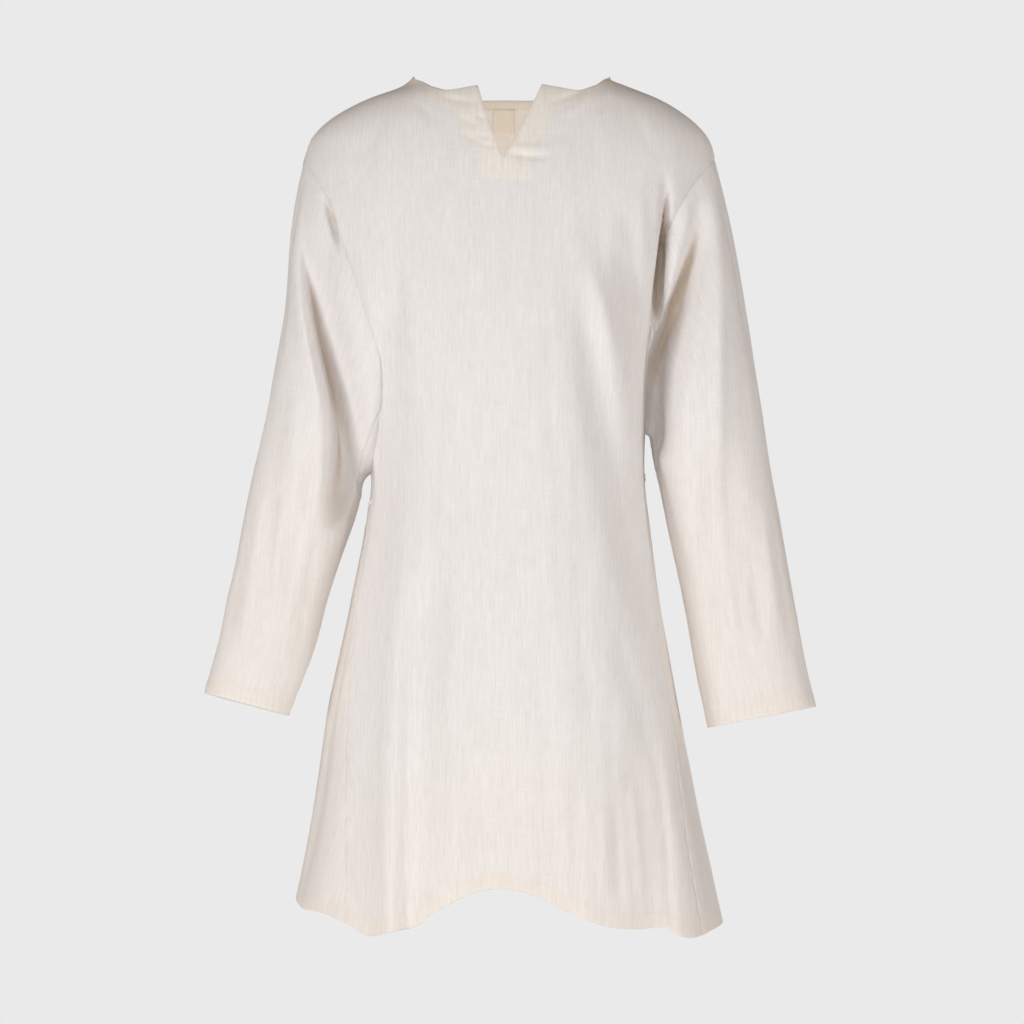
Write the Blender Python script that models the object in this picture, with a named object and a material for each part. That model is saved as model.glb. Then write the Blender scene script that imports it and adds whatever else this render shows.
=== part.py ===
"""A viking tunic of natural linen, hollow and filled out as if worn.

Metres, +Z up. The front faces -Y and the wearer's left is at +X. The origin is midway between
the two points where the shoulder seams meet the neck, where the wearer's shoulders carry it.

The sewn cloth is worked out first as one surface: a body of sections, two sleeves of rings, and
the seams between them as lines on both. Each cut piece is then a wall on its own share of it.
"""
import bmesh
import bpy
import numpy as np

# Cloth and sewing
CLOTH = 0.0015
FACING_CLOTH = 0.0010
LABEL_CLOTH = 0.0006
SEAM_GAP = 0.0003
MERGE = 0.00002

# Neck: half width at the shoulder seams, and the slit down the centre front
NECK_HALF_WIDTH = 0.1195
NECK_FRONT = ((0.038, -0.0190), (0.058, -0.0225), (0.075, -0.0250), (0.092, -0.0215),
              (0.108, -0.0125), (NECK_HALF_WIDTH, 0.0))
NECK_BACK = ((0.0, -0.0205), (0.060, -0.0200), (0.100, -0.0130), (NECK_HALF_WIDTH, 0.0))
SLIT_FOOT = (-0.0095, -0.1105)
SLIT_HALF_WIDTH = {"right": 0.0318, "left": 0.0455}
SLIT_CURVE = {"right": 0.75, "left": 0.92}

# How the panel's rows run on below the neck: the share of its fall that they take late at the
# shoulder, and the length in which they come back to the centre line below the slit
NECK_FALL = 0.60
SLIT_CENTRING = 0.30

# Roundness of the body's sections and of the sleeve's rings: 2 is an ellipse
BODY_ROUNDNESS = 2.3
SLEEVE_ROUNDNESS = 2.15

# Heights on the side seams: dropped end of the shoulder, the gusset's corners, underarm, gore
SHOULDER_END = -0.102
GUSSET_CORNER = {"right": -0.400, "left": -0.375}
UNDERARM = {"right": -0.487, "left": -0.438}
GORE_TOP = {"right": -0.545, "left": -0.505}

# Heights on the centre lines of the rows that meet the gusset's corners and the gores' tops
CENTRE_CORNER = -0.400
CENTRE_GORE_TOP = -0.520

# Turn of the gore's seams at the hem, in degrees from the centre front or the centre back
GORE_HEM_TURN = {("front", "right"): 48.0, ("front", "left"): 61.0,
                 ("back", "right"): 51.0, ("back", "left"): 44.0}
GORE_SPREAD = 0.60

# Cloth's grid: rows down each part of a panel, columns across half of it
YOKE_ROWS = 6
ARMHOLE_ROWS = 10
GUSSET_ROWS = 4
SKIRT_ROWS = 12
HALF_COLUMNS = 11
GORE_COLUMNS = 6
FOLD_COLUMNS = 4
SLEEVE_ROWS = 18
GUSSET_SLEEVE_ROWS = 6


def columns(names, rows):
    """A table as one array for each named column."""
    return dict(zip(names.split(), np.array(rows, float).T))


BODY = columns("height right left front back", [
    (0.000, 0.1195, 0.1195, 0.062, 0.060),
    (-0.006, 0.1255, 0.1230, 0.068, 0.062),
    (-0.014, 0.1365, 0.1427, 0.073, 0.065),
    (-0.029, 0.1770, 0.1800, 0.083, 0.071),
    (-0.050, 0.2175, 0.2147, 0.093, 0.083),
    (-0.072, 0.2427, 0.2375, 0.101, 0.094),
    (-0.102, 0.2550, 0.2480, 0.110, 0.104),
    (-0.150, 0.2610, 0.2360, 0.120, 0.114),
    (-0.200, 0.2550, 0.2050, 0.128, 0.119),
    (-0.250, 0.2440, 0.1840, 0.134, 0.120),
    (-0.300, 0.2270, 0.1760, 0.138, 0.118),
    (-0.350, 0.2070, 0.1715, 0.140, 0.115),
    (-0.400, 0.1890, 0.1665, 0.141, 0.112),
    (-0.450, 0.1770, 0.1625, 0.141, 0.111),
    (-0.500, 0.1725, 0.1630, 0.141, 0.112),
    (-0.550, 0.1790, 0.1680, 0.142, 0.114),
    (-0.650, 0.1980, 0.1815, 0.146, 0.121),
    (-0.760, 0.2215, 0.1995, 0.152, 0.131),
    (-0.860, 0.2370, 0.2180, 0.158, 0.142),
    (-0.960, 0.2540, 0.2400, 0.165, 0.153),
    (-1.050, 0.2730, 0.2620, 0.171, 0.162),
])

# Distance of the armhole's and gusset's seams from the centre line, as seen from the front
SIDE_SEAM = columns("height right_front right_back left_front left_back", [
    (-0.102, 0.2550, 0.2550, 0.2480, 0.2480),
    (-0.150, 0.2266, 0.2330, 0.2120, 0.2180),
    (-0.200, 0.2090, 0.2130, 0.1860, 0.1860),
    (-0.250, 0.1900, 0.1960, 0.1735, 0.1710),
    (-0.300, 0.1740, 0.1830, 0.1690, 0.1660),
    (-0.350, 0.1580, 0.1740, 0.1650, 0.1610),
    (-0.400, 0.1560, 0.1690, 0.1605, 0.1570),
    (-0.450, 0.1590, 0.1670, 0.1585, 0.1560),
    (-0.500, 0.1660, 0.1680, 0.1640, 0.1640),
    (-0.550, 0.1820, 0.1820, 0.1800, 0.1800),
])

# The hem's height around the body: turn from the centre front, towards the wearer's left
HEM = columns("turn height", [
    (-180, -0.990), (-152, -1.012), (-128, -1.040), (-108, -1.022), (-90, -1.009),
    (-73, -1.015), (-56, -1.0175), (-47, -1.027), (-39, -1.039), (-31, -1.031),
    (-24.5, -1.0245), (-21, -1.0115), (-15, -0.9955), (-9, -0.983), (0, -0.981),
    (8, -0.991), (16, -1.008), (25, -1.024), (34, -1.030), (45, -1.031), (52, -1.0425),
    (57, -1.044), (67, -1.040), (90, -1.037), (108, -1.043), (130, -1.046),
    (152, -1.016), (180, -0.990),
])

# Rings of each sleeve, from the armhole to the cuff: its outer and inner edge as seen from the
# front, the height of each, how far its middle hangs forward, and its depth each way
SLEEVE = {
    "right": columns("along outer outer_z inner inner_z forward depth", [
        (0.00, 0.2550, -0.102, 0.1720, -0.487, 0.000, 0.100),
        (0.08, 0.2635, -0.142, 0.1785, -0.492, 0.000, 0.097),
        (0.16, 0.2700, -0.185, 0.1830, -0.499, 0.001, 0.092),
        (0.31, 0.2795, -0.288, 0.1870, -0.520, 0.004, 0.082),
        (0.46, 0.2985, -0.404, 0.1935, -0.544, 0.010, 0.071),
        (0.61, 0.3205, -0.502, 0.2060, -0.580, 0.020, 0.058),
        (0.76, 0.3390, -0.604, 0.2260, -0.646, 0.034, 0.047),
        (0.91, 0.3605, -0.706, 0.2480, -0.729, 0.052, 0.038),
        (1.00, 0.3725, -0.7545, 0.2700, -0.782, 0.062, 0.033),
    ]),
    "left": columns("along outer outer_z inner inner_z forward depth", [
        (0.00, 0.2480, -0.102, 0.1625, -0.438, 0.000, 0.098),
        (0.08, 0.2580, -0.141, 0.1703, -0.4445, 0.000, 0.096),
        (0.16, 0.2675, -0.184, 0.1720, -0.460, 0.001, 0.091),
        (0.31, 0.2865, -0.288, 0.1765, -0.483, 0.003, 0.082),
        (0.46, 0.3030, -0.392, 0.1830, -0.512, 0.007, 0.071),
        (0.61, 0.3205, -0.502, 0.1925, -0.560, 0.013, 0.058),
        (0.76, 0.3395, -0.612, 0.2085, -0.633, 0.021, 0.047),
        (0.91, 0.3580, -0.720, 0.2265, -0.735, 0.030, 0.038),
        (1.00, 0.3710, -0.772, 0.2385, -0.798, 0.036, 0.033),
    ]),
}
SLEEVE_LEAN = {"right": 0.10, "left": 0.06}
ARMHOLE_EASE = 0.26
SLEEVE_TURN_EASE = 0.85

# Largest folds: a trough if its depth is positive and a ridge if not, run through points
# (x, z), with its half width, its depth and the length over which it comes in at its top
FOLDS = {
    "front": (
        (((-0.142, -0.232), (-0.156, -0.545), (-0.173, -0.666), (-0.187, -0.815),
          (-0.166, -1.100)), 0.022, 0.007, 0.10),
        (((-0.119, -0.517), (-0.126, -0.758), (-0.127, -1.100)), 0.020, -0.007, 0.15),
        (((-0.067, -0.629), (-0.083, -0.793), (-0.098, -1.100)), 0.026, 0.006, 0.10),
        (((0.066, -0.250), (0.080, -0.362), (0.099, -0.455), (0.125, -0.529),
          (0.170, -0.690)), 0.020, 0.009, 0.08),
        (((0.080, -0.240), (0.125, -0.414), (0.150, -0.500)), 0.018, -0.006, 0.08),
        (((0.113, -0.200), (0.136, -0.276), (0.155, -0.370)), 0.018, 0.007, 0.06),
        (((0.130, -0.760), (0.150, -0.900), (0.168, -1.100)), 0.026, 0.006, 0.12),
        (((0.180, -0.700), (0.200, -0.880), (0.210, -1.100)), 0.022, -0.006, 0.12),
        (((-0.250, -0.130), (-0.246, -0.288), (-0.223, -0.376), (-0.205, -0.448),
          (-0.196, -0.560)), 0.018, 0.085, 0.30),
        (((0.232, -0.126), (0.215, -0.190), (0.200, -0.236), (0.188, -0.314),
          (0.182, -0.400), (0.183, -0.470)), 0.018, 0.080, 0.26),
    ),
    "back": (
        (((-0.120, -0.240), (-0.110, -0.480), (-0.090, -0.700), (-0.080, -1.100)),
         0.028, 0.009, 0.12),
        (((-0.160, -0.600), (-0.180, -0.850), (-0.185, -1.100)), 0.024, 0.008, 0.12),
        (((-0.128, -0.560), (-0.132, -0.800), (-0.135, -1.100)), 0.024, -0.007, 0.12),
        (((0.010, -0.560), (0.000, -0.800), (-0.010, -1.100)), 0.032, 0.007, 0.12),
        (((0.118, -0.220), (0.105, -0.500), (0.095, -0.760), (0.090, -1.100)),
         0.028, 0.010, 0.12),
        (((0.150, -0.640), (0.160, -0.850), (0.165, -1.100)), 0.024, -0.008, 0.12),
        (((-0.247, -0.150), (-0.236, -0.300), (-0.215, -0.400), (-0.200, -0.560)),
         0.020, 0.035, 0.28),
        (((0.238, -0.150), (0.222, -0.260), (0.204, -0.380), (0.192, -0.520)),
         0.018, 0.030, 0.24),
    ),
}

# Length in which a fold runs out at its foot, distance from the middle below which it turns
# shallow, and the most of that distance that folds may take up
FOLD_FOOT = 0.05
FOLD_EDGE = 0.055
FOLD_LIMIT = 0.7

# Neck facings: panel rows that they reach down to, at the neck and below the slit, and the
# panel columns beside the slit
FACING_NECK_ROWS = 1
FACING_SLIT_ROWS = YOKE_ROWS + 1
FACING_SLIT_COLUMNS = 1

# Label inside the back neck: the panel rows at its edges and creases, and distances across
LABEL_ROWS = (0.70, 1.0, 2.0, 2.70)
LABEL_ACROSS = (-0.024, 0.0, 0.003)

# Finishes: linear colour and roughness
LINEN = ("natural linen", (0.79, 0.735, 0.675), 0.88)
FACING_LINEN = ("facing linen", (0.82, 0.755, 0.675), 0.88)
LABEL_TAPE = ("label tape", (0.74, 0.69, 0.60), 0.80)
SHARP_ANGLE = np.radians(50)
COLLECTION = "viking_tunic"


def through(xs, ys, x):
    """A smooth curve through the points (xs, ys), read at x and level beyond both ends."""
    order = np.argsort(xs)
    xs = np.asarray(xs, float)[order]
    ys = np.asarray(ys, float)[order]
    slope = np.gradient(ys, xs)
    x = np.clip(x, xs[0], xs[-1])
    i = np.clip(np.searchsorted(xs, x) - 1, 0, len(xs) - 2)
    step = xs[i + 1] - xs[i]
    t = (x - xs[i]) / step
    return ((1 + 2 * t) * (1 - t) ** 2 * ys[i] + t * (1 - t) ** 2 * step * slope[i]
            + t * t * (3 - 2 * t) * ys[i + 1] + t * t * (t - 1) * step * slope[i + 1])


def ease(t):
    """From 0 to 1 with soft ends."""
    t = np.clip(t, 0.0, 1.0)
    return t * t * (3 - 2 * t)


def body_width(side, z):
    return through(BODY["height"], BODY[side], z)


def fold_depth(face, x, z):
    """How far the folds of one face pull the cloth in at (x, z)."""
    total = np.zeros(np.broadcast(x, z).shape)
    for path, width, depth, rise in FOLDS[face]:
        path_x, path_z = np.array(path).T
        across = (x - through(path_z, path_x, z)) / width
        fade = ease((path_z[0] - z) / rise) * ease((z - path_z[-1]) / FOLD_FOOT)
        total += depth * np.exp(-across ** 2) * fade
    return total


def folded(x, y, z, middle):
    """Points with the folds pressed in towards y = middle, by most of the way at the very most."""
    out = np.abs(y - middle)
    depth = np.where(y < middle, fold_depth("front", x, z), fold_depth("back", x, z))
    press = depth * ease(out / FOLD_EDGE) / np.maximum(out, CLOTH) / FOLD_LIMIT
    kept = 1 - FOLD_LIMIT + FOLD_LIMIT * np.exp(-press)
    return np.stack(np.broadcast_arrays(x, middle + (y - middle) * kept, z), axis=-1)


def body_base(turn, z):
    """The body's surface at a turn from the centre front, in degrees, positive to the left."""
    turn = np.radians(turn)
    across = np.sin(turn)
    width = np.where(across > 0, body_width("left", z), body_width("right", z))
    depth = np.where(np.cos(turn) > 0, -through(BODY["height"], BODY["front"], z),
                     through(BODY["height"], BODY["back"], z))
    round_off = np.clip(1 - np.abs(across) ** BODY_ROUNDNESS, 0, 1) ** (1 / BODY_ROUNDNESS)
    return width * across, depth * round_off, z + 0 * across


def body(turn, z):
    return folded(*body_base(turn, z), 0.0)


def facing_turn(face, side, turn):
    """A turn from the centre of one face, as a turn from the centre front."""
    sign = 1 if side == "left" else -1
    return sign * (turn if face == "front" else 180 - turn)


def turn_at(side, x, z):
    """The turn at which the body is a distance x from the centre line, towards this side."""
    other = "left" if side == "right" else "right"
    width = np.where(np.asarray(x) < 0, body_width(other, z), body_width(side, z))
    return np.degrees(np.arcsin(np.clip(x / width, -1, 1)))


def side_seam_turn(face, side, z):
    return turn_at(side, through(SIDE_SEAM["height"], SIDE_SEAM[side + "_" + face], z), z)


def hem_height(turn):
    return through(HEM["turn"], HEM["height"], turn)


def armhole_height(side, turn):
    """Height on the armhole at a turn around it, 0 at the shoulder and 180 under the arm."""
    drop = (1 - np.cos(np.radians(turn))) / 2
    return SHOULDER_END + (UNDERARM[side] - SHOULDER_END) * drop


def corner_turn(side):
    """The armhole's turn at the gusset's corner."""
    drop = (GUSSET_CORNER[side] - SHOULDER_END) / (UNDERARM[side] - SHOULDER_END)
    return np.degrees(np.arccos(1 - 2 * drop))


def armhole_turns(side):
    """Turns of the points that a panel and a sleeve share on the armhole's seam."""
    return corner_turn(side) * np.linspace(0, 1, ARMHOLE_ROWS + 1) ** SLEEVE_TURN_EASE


def armhole_base(side, turn):
    """The armhole's loop on the body: the seam of each face, and the gusset's fold between."""
    turn = np.asarray(turn, float)
    half = np.where(turn > 180, 360 - turn, turn)
    z = armhole_height(side, half)
    corner = corner_turn(side)
    share = np.clip((half - corner) / (180 - corner), 0, 1)
    seam = {face: side_seam_turn(face, side, np.maximum(z, GUSSET_CORNER[side]))
            for face in ("front", "back")}
    turned = {face: seam[face] + (90 - seam[face]) * share for face in seam}
    around = np.where(turn > 180, facing_turn("back", side, turned["back"]),
                      facing_turn("front", side, turned["front"]))
    return np.stack(body_base(around, z), axis=-1)


def ring_base(side, turn, along):
    """A sleeve's own rings, before they are fitted to the armhole."""
    table = SLEEVE[side]
    sign = 1 if side == "left" else -1
    row = {name: through(table["along"], table[name], along) for name in table}
    cosine = np.cos(np.radians(turn))
    sine = np.sin(np.radians(turn))
    power = 2 / SLEEVE_ROUNDNESS
    lengthwise = np.sign(cosine) * np.abs(cosine) ** power
    depthwise = np.sign(sine) * np.abs(sine) ** power * row["depth"]
    x = (row["outer"] + row["inner"]) / 2 + (row["outer"] - row["inner"]) / 2 * lengthwise
    z = (row["outer_z"] + row["inner_z"]) / 2 + (row["outer_z"] - row["inner_z"]) / 2 * lengthwise
    lean = SLEEVE_LEAN[side] * along
    return np.stack([sign * x, -row["forward"] - depthwise, z + lean * depthwise], axis=-1)


def sleeve(side, turn, along):
    """A sleeve's surface: 0 is its outer edge, 90 the front, 180 under the arm, 270 the back."""
    turn, along = np.broadcast_arrays(np.asarray(turn, float), np.asarray(along, float))
    left_over = (1 - ease(along / ARMHOLE_EASE))[..., None]
    start = armhole_base(side, turn) - ring_base(side, turn, 0 * along)
    x, y, z = np.moveaxis(ring_base(side, turn, along) + start * left_over, -1, 0)
    middle = -through(SLEEVE[side]["along"], SLEEVE[side]["forward"], along)
    return folded(x, y, z, middle)


def neck_height(face, side, turn):
    """The neck edge's height over a turn from the centre of one face."""
    points = np.array(NECK_FRONT if face == "front" else NECK_BACK)
    turns = turn_at(side, points[:, 0], points[:, 1])
    turns[-1] = 90
    return through(turns, points[:, 1], turn)


def slit_edge(side, share):
    """Distance of the slit's edge from the centre line, positive towards this side."""
    sign = 1 if side == "left" else -1
    return sign * SLIT_FOOT[0] + SLIT_HALF_WIDTH[side] * (1 - share) ** SLIT_CURVE[side]


def yoke(face, side):
    """Rows of half a panel from the neck to the end of the shoulder, as turns and heights."""
    rows = []
    u = np.linspace(0, 1, HALF_COLUMNS + 1)
    foot = SLIT_FOOT[1] + (SHOULDER_END - SLIT_FOOT[1]) * u
    for share in np.linspace(0, 1, YOKE_ROWS + 1):
        inner_z = through([0, 1], [NECK_FRONT[0][1], SLIT_FOOT[1]], share)
        inner = turn_at(side, slit_edge(side, share), inner_z) if face == "front" else 0.0
        turn = inner + (90 - inner) * u
        fall = share ** (1 + NECK_FALL * u)
        rows.append((turn, neck_height(face, side, turn) * (1 - fall) + foot * fall))
    return rows


def half_panel(face, side):
    """Half of the front or back, as a grid of points from the neck edge to the hem."""
    rows = yoke(face, side)
    u = np.linspace(0, 1, HALF_COLUMNS + 1)
    foot_turn, foot_z = rows[-1]
    first_inner = foot_turn[0]

    def side_rows(outer_turns, outer_heights, inner_from, inner_to):
        count = len(outer_turns)
        for i, (outer, z) in enumerate(zip(outer_turns, outer_heights), start=1):
            inner_z = inner_from + (inner_to - inner_from) * i / count
            inner = first_inner * (1 - ease((SLIT_FOOT[1] - inner_z) / SLIT_CENTRING))
            rows.append((inner + (outer - inner) * u, inner_z + (z - inner_z) * u ** 2))

    heights = armhole_height(side, armhole_turns(side)[1:])
    side_rows(side_seam_turn(face, side, heights), heights, foot_z[0], CENTRE_CORNER)
    share = np.arange(1, GUSSET_ROWS + 1) / GUSSET_ROWS
    heights = GUSSET_CORNER[side] + (GORE_TOP[side] - GUSSET_CORNER[side]) * share
    side_rows(side_seam_turn(face, side, heights), heights, CENTRE_CORNER, CENTRE_GORE_TOP)

    top_turn, top_z = rows[-1]
    for share in np.linspace(0, 1, SKIRT_ROWS + 1)[1:]:
        turn = top_turn[0] + (gore_seam_turn(face, side, share) - top_turn[0]) * u
        hem = hem_height(facing_turn(face, side, turn))
        rows.append((turn, top_z + (hem - top_z) * share))
    return np.array([body(facing_turn(face, side, turn), z) for turn, z in rows])


def gore_seam_turn(face, side, share):
    return 90 + (GORE_HEM_TURN[face, side] - 90) * share ** GORE_SPREAD


def gore(side):
    """A side gore as a grid, from its top point down to the hem."""
    rows = []
    across = np.linspace(-1, 1, GORE_COLUMNS + 1)
    for share in np.linspace(0, 1, SKIRT_ROWS + 1):
        front = 90 - gore_seam_turn("front", side, share)
        back = 90 - gore_seam_turn("back", side, share)
        turn = facing_turn("front", side, 90 + np.where(across < 0, front, back) * across)
        z = GORE_TOP[side] + (hem_height(turn) - GORE_TOP[side]) * share
        rows.append(body(turn, z))
    return np.array(rows)


def fold_shares():
    """Columns across the gusset's fold, -1 at its front corner and 1 at its back corner."""
    return np.linspace(-1, 1, FOLD_COLUMNS + 1)


def gusset_below(side):
    """The gusset's lower half, from the fold under the arm down to the top of the gore."""
    rows = []
    across = fold_shares()
    fold_z = armhole_height(side, 180 - np.abs(across) * (180 - corner_turn(side)))
    for share in np.linspace(0, 1, GUSSET_ROWS + 1):
        edge_z = GUSSET_CORNER[side] + (GORE_TOP[side] - GUSSET_CORNER[side]) * share
        front = 90 - side_seam_turn("front", side, edge_z)
        back = 90 - side_seam_turn("back", side, edge_z)
        turn = facing_turn("front", side, 90 + np.where(across < 0, front, back) * across)
        rows.append(body(turn, fold_z + (GORE_TOP[side] - fold_z) * share))
    return np.array(rows)


def sleeve_alongs():
    """Where a sleeve's rows lie, from the armhole to the cuff."""
    return np.linspace(0, 1, SLEEVE_ROWS + 1)


def gusset_reach(side, row):
    """Half the gusset's turn on the sleeve at a row, none past its lower point."""
    return (180 - corner_turn(side)) * max(0.0, 1 - row / GUSSET_SLEEVE_ROWS)


def gusset_above(side):
    """The gusset's upper half, from the fold out along the sleeve's underside."""
    rows = []
    for row in range(GUSSET_SLEEVE_ROWS + 1):
        turn = 180 + gusset_reach(side, row) * fold_shares()
        rows.append(sleeve(side, turn, sleeve_alongs()[row]))
    return np.array(rows)


def half_sleeve(side, face):
    """The front or back half of a sleeve, from its outer edge to the gusset and underarm seam."""
    rows = []
    u = np.linspace(0, 1, ARMHOLE_ROWS + 1) ** SLEEVE_TURN_EASE
    for row, along in enumerate(sleeve_alongs()):
        turn = (180 - gusset_reach(side, row)) * u
        rows.append(sleeve(side, turn if face == "front" else 360 - turn, along))
    return np.array(rows)


def facing_reaches(name, row, column):
    """Whether a facing backs this face of the front or back."""
    beside_slit = column < FACING_SLIT_COLUMNS and row < FACING_SLIT_ROWS
    if name == "tunic_front":
        return row < FACING_NECK_ROWS or beside_slit
    return name == "tunic_back" and row < FACING_NECK_ROWS


def sew(bm, name, grid, outward):
    """Add one grid to the sewn surface, its faces pointing along outward, and return them."""
    faced = bm.faces.layers.int["faced"]
    verts = [[bm.verts.new(point) for point in row] for row in grid]
    faces = []
    for row, (upper, lower) in enumerate(zip(verts, verts[1:])):
        for i in range(len(upper) - 1):
            face = bm.faces.new((upper[i], lower[i], lower[i + 1], upper[i + 1]))
            face[faced] = facing_reaches(name, row, i)
            face.normal_update()
            faces.append(face)
    turned = sum(face.normal.dot(outward) * face.calc_area() for face in faces)
    if turned < 0:
        bmesh.ops.reverse_faces(bm, faces=faces)
    return faces


def sewn_surface():
    """All the cloth as one surface, and the names behind the numbers of its pieces."""
    bm = bmesh.new()
    piece = bm.faces.layers.int.new("piece")
    bm.faces.layers.int.new("faced")
    names = []

    def add(name, grid, outward):
        if name not in names:
            names.append(name)
        for face in sew(bm, name, grid, outward):
            face[piece] = names.index(name)

    for side, sign in (("right", -1), ("left", 1)):
        add("tunic_front", half_panel("front", side), (0, -1, 0))
        add("tunic_back", half_panel("back", side), (0, 1, 0))
        add("sleeve_" + side, half_sleeve(side, "front"), (0, -1, 0))
        add("sleeve_" + side, half_sleeve(side, "back"), (0, 1, 0))
        add("gusset_" + side, gusset_above(side), (-sign, 0, -1))
        add("gusset_" + side, gusset_below(side), (sign, 0, 0))
        add("gore_" + side, gore(side), (sign, 0, 0))
    bmesh.ops.remove_doubles(bm, verts=bm.verts, dist=MERGE)
    bmesh.ops.triangulate(bm, faces=bm.faces)
    bm.normal_update()
    return bm, names


def on_back(row, x):
    """A point on the back's facets, at a row down it and a distance from its centre line."""
    grid = half_panel("back", "left" if x > 0 else "right")
    upper = int(row)
    points = grid[upper] + (grid[upper + 1] - grid[upper]) * (row - upper)
    across = np.abs(points[:, 0])
    return [x, np.interp(abs(x), across, points[:, 1]), np.interp(abs(x), across, points[:, 2])]


def label_sheet():
    """The label's sheet on the back's own facets."""
    bm = bmesh.new()
    bm.faces.layers.int.new("faced")
    grid = [[on_back(row, x) for x in LABEL_ACROSS] for row in LABEL_ROWS]
    faces = sew(bm, "neck_label", grid, (0, 1, 0))
    bm.normal_update()
    bm.verts.index_update()
    return sheet_of(faces)


def sheet_of(faces):
    """Points, normals and faces of one piece, with its edges drawn in by half the seam's gap."""
    verts = sorted({vert for face in faces for vert in face.verts}, key=lambda v: v.index)
    index = {vert: i for i, vert in enumerate(verts)}
    points = np.array([vert.co for vert in verts])
    normals = np.array([vert.normal for vert in verts])
    loops = [[index[vert] for vert in face.verts] for face in faces]
    return drawn_in(points, normals, loops), normals, loops


def edge_loops(loops):
    """Edges that belong to one face only, in the direction of that face."""
    edges = [(a, b) for loop in loops for a, b in zip(loop, loop[1:] + loop[:1])]
    known = set(edges)
    return [(a, b) for a, b in edges if (b, a) not in known]


def drawn_in(points, normals, loops):
    """Move the free edges into the sheet by half a seam's gap, square to each edge."""
    pull = np.zeros_like(points)
    for a, b in edge_loops(loops):
        along = points[b] - points[a]
        inward = np.cross(normals[a] + normals[b], along)
        inward /= np.linalg.norm(inward)
        pull[a] += inward
        pull[b] += inward
    size = np.sum(pull ** 2, axis=1, keepdims=True)
    return points + np.where(size > 0, pull / np.maximum(size / 2, 0.5), 0) * SEAM_GAP / 2


def rim(a, b, count):
    """Two triangles across a wall's edge, split the same way in the pieces on both sides of it."""
    if a < b:
        return [[b, a, b + count], [a, a + count, b + count]]
    return [[b, a, a + count], [b, a + count, b + count]]


def wall(name, sheet, thickness, inward, material):
    """A closed wall: a sheet moved inward, then half its thickness each way, its edges joined."""
    points, normals, loops = sheet
    outside = points + (thickness / 2 - inward) * normals
    inside = points - (thickness / 2 + inward) * normals
    count = len(points)
    faces = [list(loop) for loop in loops]
    faces += [[i + count for i in reversed(loop)] for loop in loops]
    for a, b in edge_loops(loops):
        faces += rim(a, b, count)
    mesh = bpy.data.meshes.new(name)
    mesh.from_pydata(np.vstack([outside, inside]).tolist(), [], faces)
    mesh.materials.append(material)
    mesh.shade_smooth()
    mesh.set_sharp_from_angle(angle=SHARP_ANGLE)
    part = bpy.data.objects.new(name, mesh)
    bpy.data.collections[COLLECTION].objects.link(part)


def finish(name, colour, roughness):
    """A cloth finish on the Principled shader."""
    material = bpy.data.materials.new(name)
    material.use_nodes = True
    shader = material.node_tree.nodes["Principled BSDF"]
    shader.inputs["Base Color"].default_value = (*colour, 1)
    shader.inputs["Roughness"].default_value = roughness
    shader.inputs["Metallic"].default_value = 0.0
    return material


def main():
    for old in list(bpy.data.objects):
        bpy.data.objects.remove(old)
    collection = bpy.data.collections.new(COLLECTION)
    bpy.context.scene.collection.children.link(collection)

    bm, names = sewn_surface()
    bm.verts.index_update()
    piece = bm.faces.layers.int["piece"]
    faced = bm.faces.layers.int["faced"]
    linen = finish(*LINEN)
    for number, name in enumerate(names):
        faces = [face for face in bm.faces if face[piece] == number]
        wall(name, sheet_of(faces), CLOTH, 0.0, linen)

    facing_linen = finish(*FACING_LINEN)
    facing_in = CLOTH / 2 + SEAM_GAP + FACING_CLOTH / 2
    for side in ("front", "back"):
        number = names.index("tunic_" + side)
        faces = [face for face in bm.faces if face[piece] == number and face[faced]]
        wall("neck_facing_" + side, sheet_of(faces), FACING_CLOTH, facing_in, facing_linen)
    label_in = facing_in + FACING_CLOTH / 2 + SEAM_GAP + LABEL_CLOTH / 2
    wall("neck_label", label_sheet(), LABEL_CLOTH, label_in, finish(*LABEL_TAPE))
    bm.free()


main()
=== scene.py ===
"""Looks of the viking tunic: natural linen, hollow and filled out as if worn.

The cloth is worked out much as in the part's source, on a finer grid: a body of sections, two
sleeves of rings, and the seams between them as lines on both. Smaller creases are then laid on
it, each cut piece becomes a thin closed shell on its own share, and stitches hold its turn-ups.
Metres, but millimetres in the tables. +Z up, the front faces -Y, the wearer's left is at +X.
"""

import math

import bpy
import numpy as np
from mathutils.kdtree import KDTree
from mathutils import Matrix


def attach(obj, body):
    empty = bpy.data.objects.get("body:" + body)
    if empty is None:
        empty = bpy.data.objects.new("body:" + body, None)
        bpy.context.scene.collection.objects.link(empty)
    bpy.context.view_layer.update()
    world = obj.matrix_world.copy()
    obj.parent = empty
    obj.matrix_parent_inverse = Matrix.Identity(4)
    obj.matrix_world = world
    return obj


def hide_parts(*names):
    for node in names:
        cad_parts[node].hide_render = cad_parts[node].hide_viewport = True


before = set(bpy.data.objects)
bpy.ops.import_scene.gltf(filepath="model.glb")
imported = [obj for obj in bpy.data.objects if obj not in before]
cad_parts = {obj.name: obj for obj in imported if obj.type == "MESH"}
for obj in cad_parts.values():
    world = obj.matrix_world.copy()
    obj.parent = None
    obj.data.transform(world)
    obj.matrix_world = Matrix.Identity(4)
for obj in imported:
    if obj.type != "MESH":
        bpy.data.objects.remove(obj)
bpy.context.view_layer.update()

# Drawn cloth: thickness of the linen, of the facings and of the label, what turn-ups add inside
# and outside, their heights, and how the edges of the shells are rounded or sunk into a seam
LINEN_THICK = 0.0009
FACING_THICK = 0.0007
LABEL_THICK = 0.0005
TURN_UP_THICK = 0.0008
TURN_UP_SWELL = 0.00025
LAYER_GAP = 0.0001
HEM_TURN_UP = 0.020
CUFF_TURN_UP = 0.018
TURN_UP_EASE = 0.0035
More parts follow.
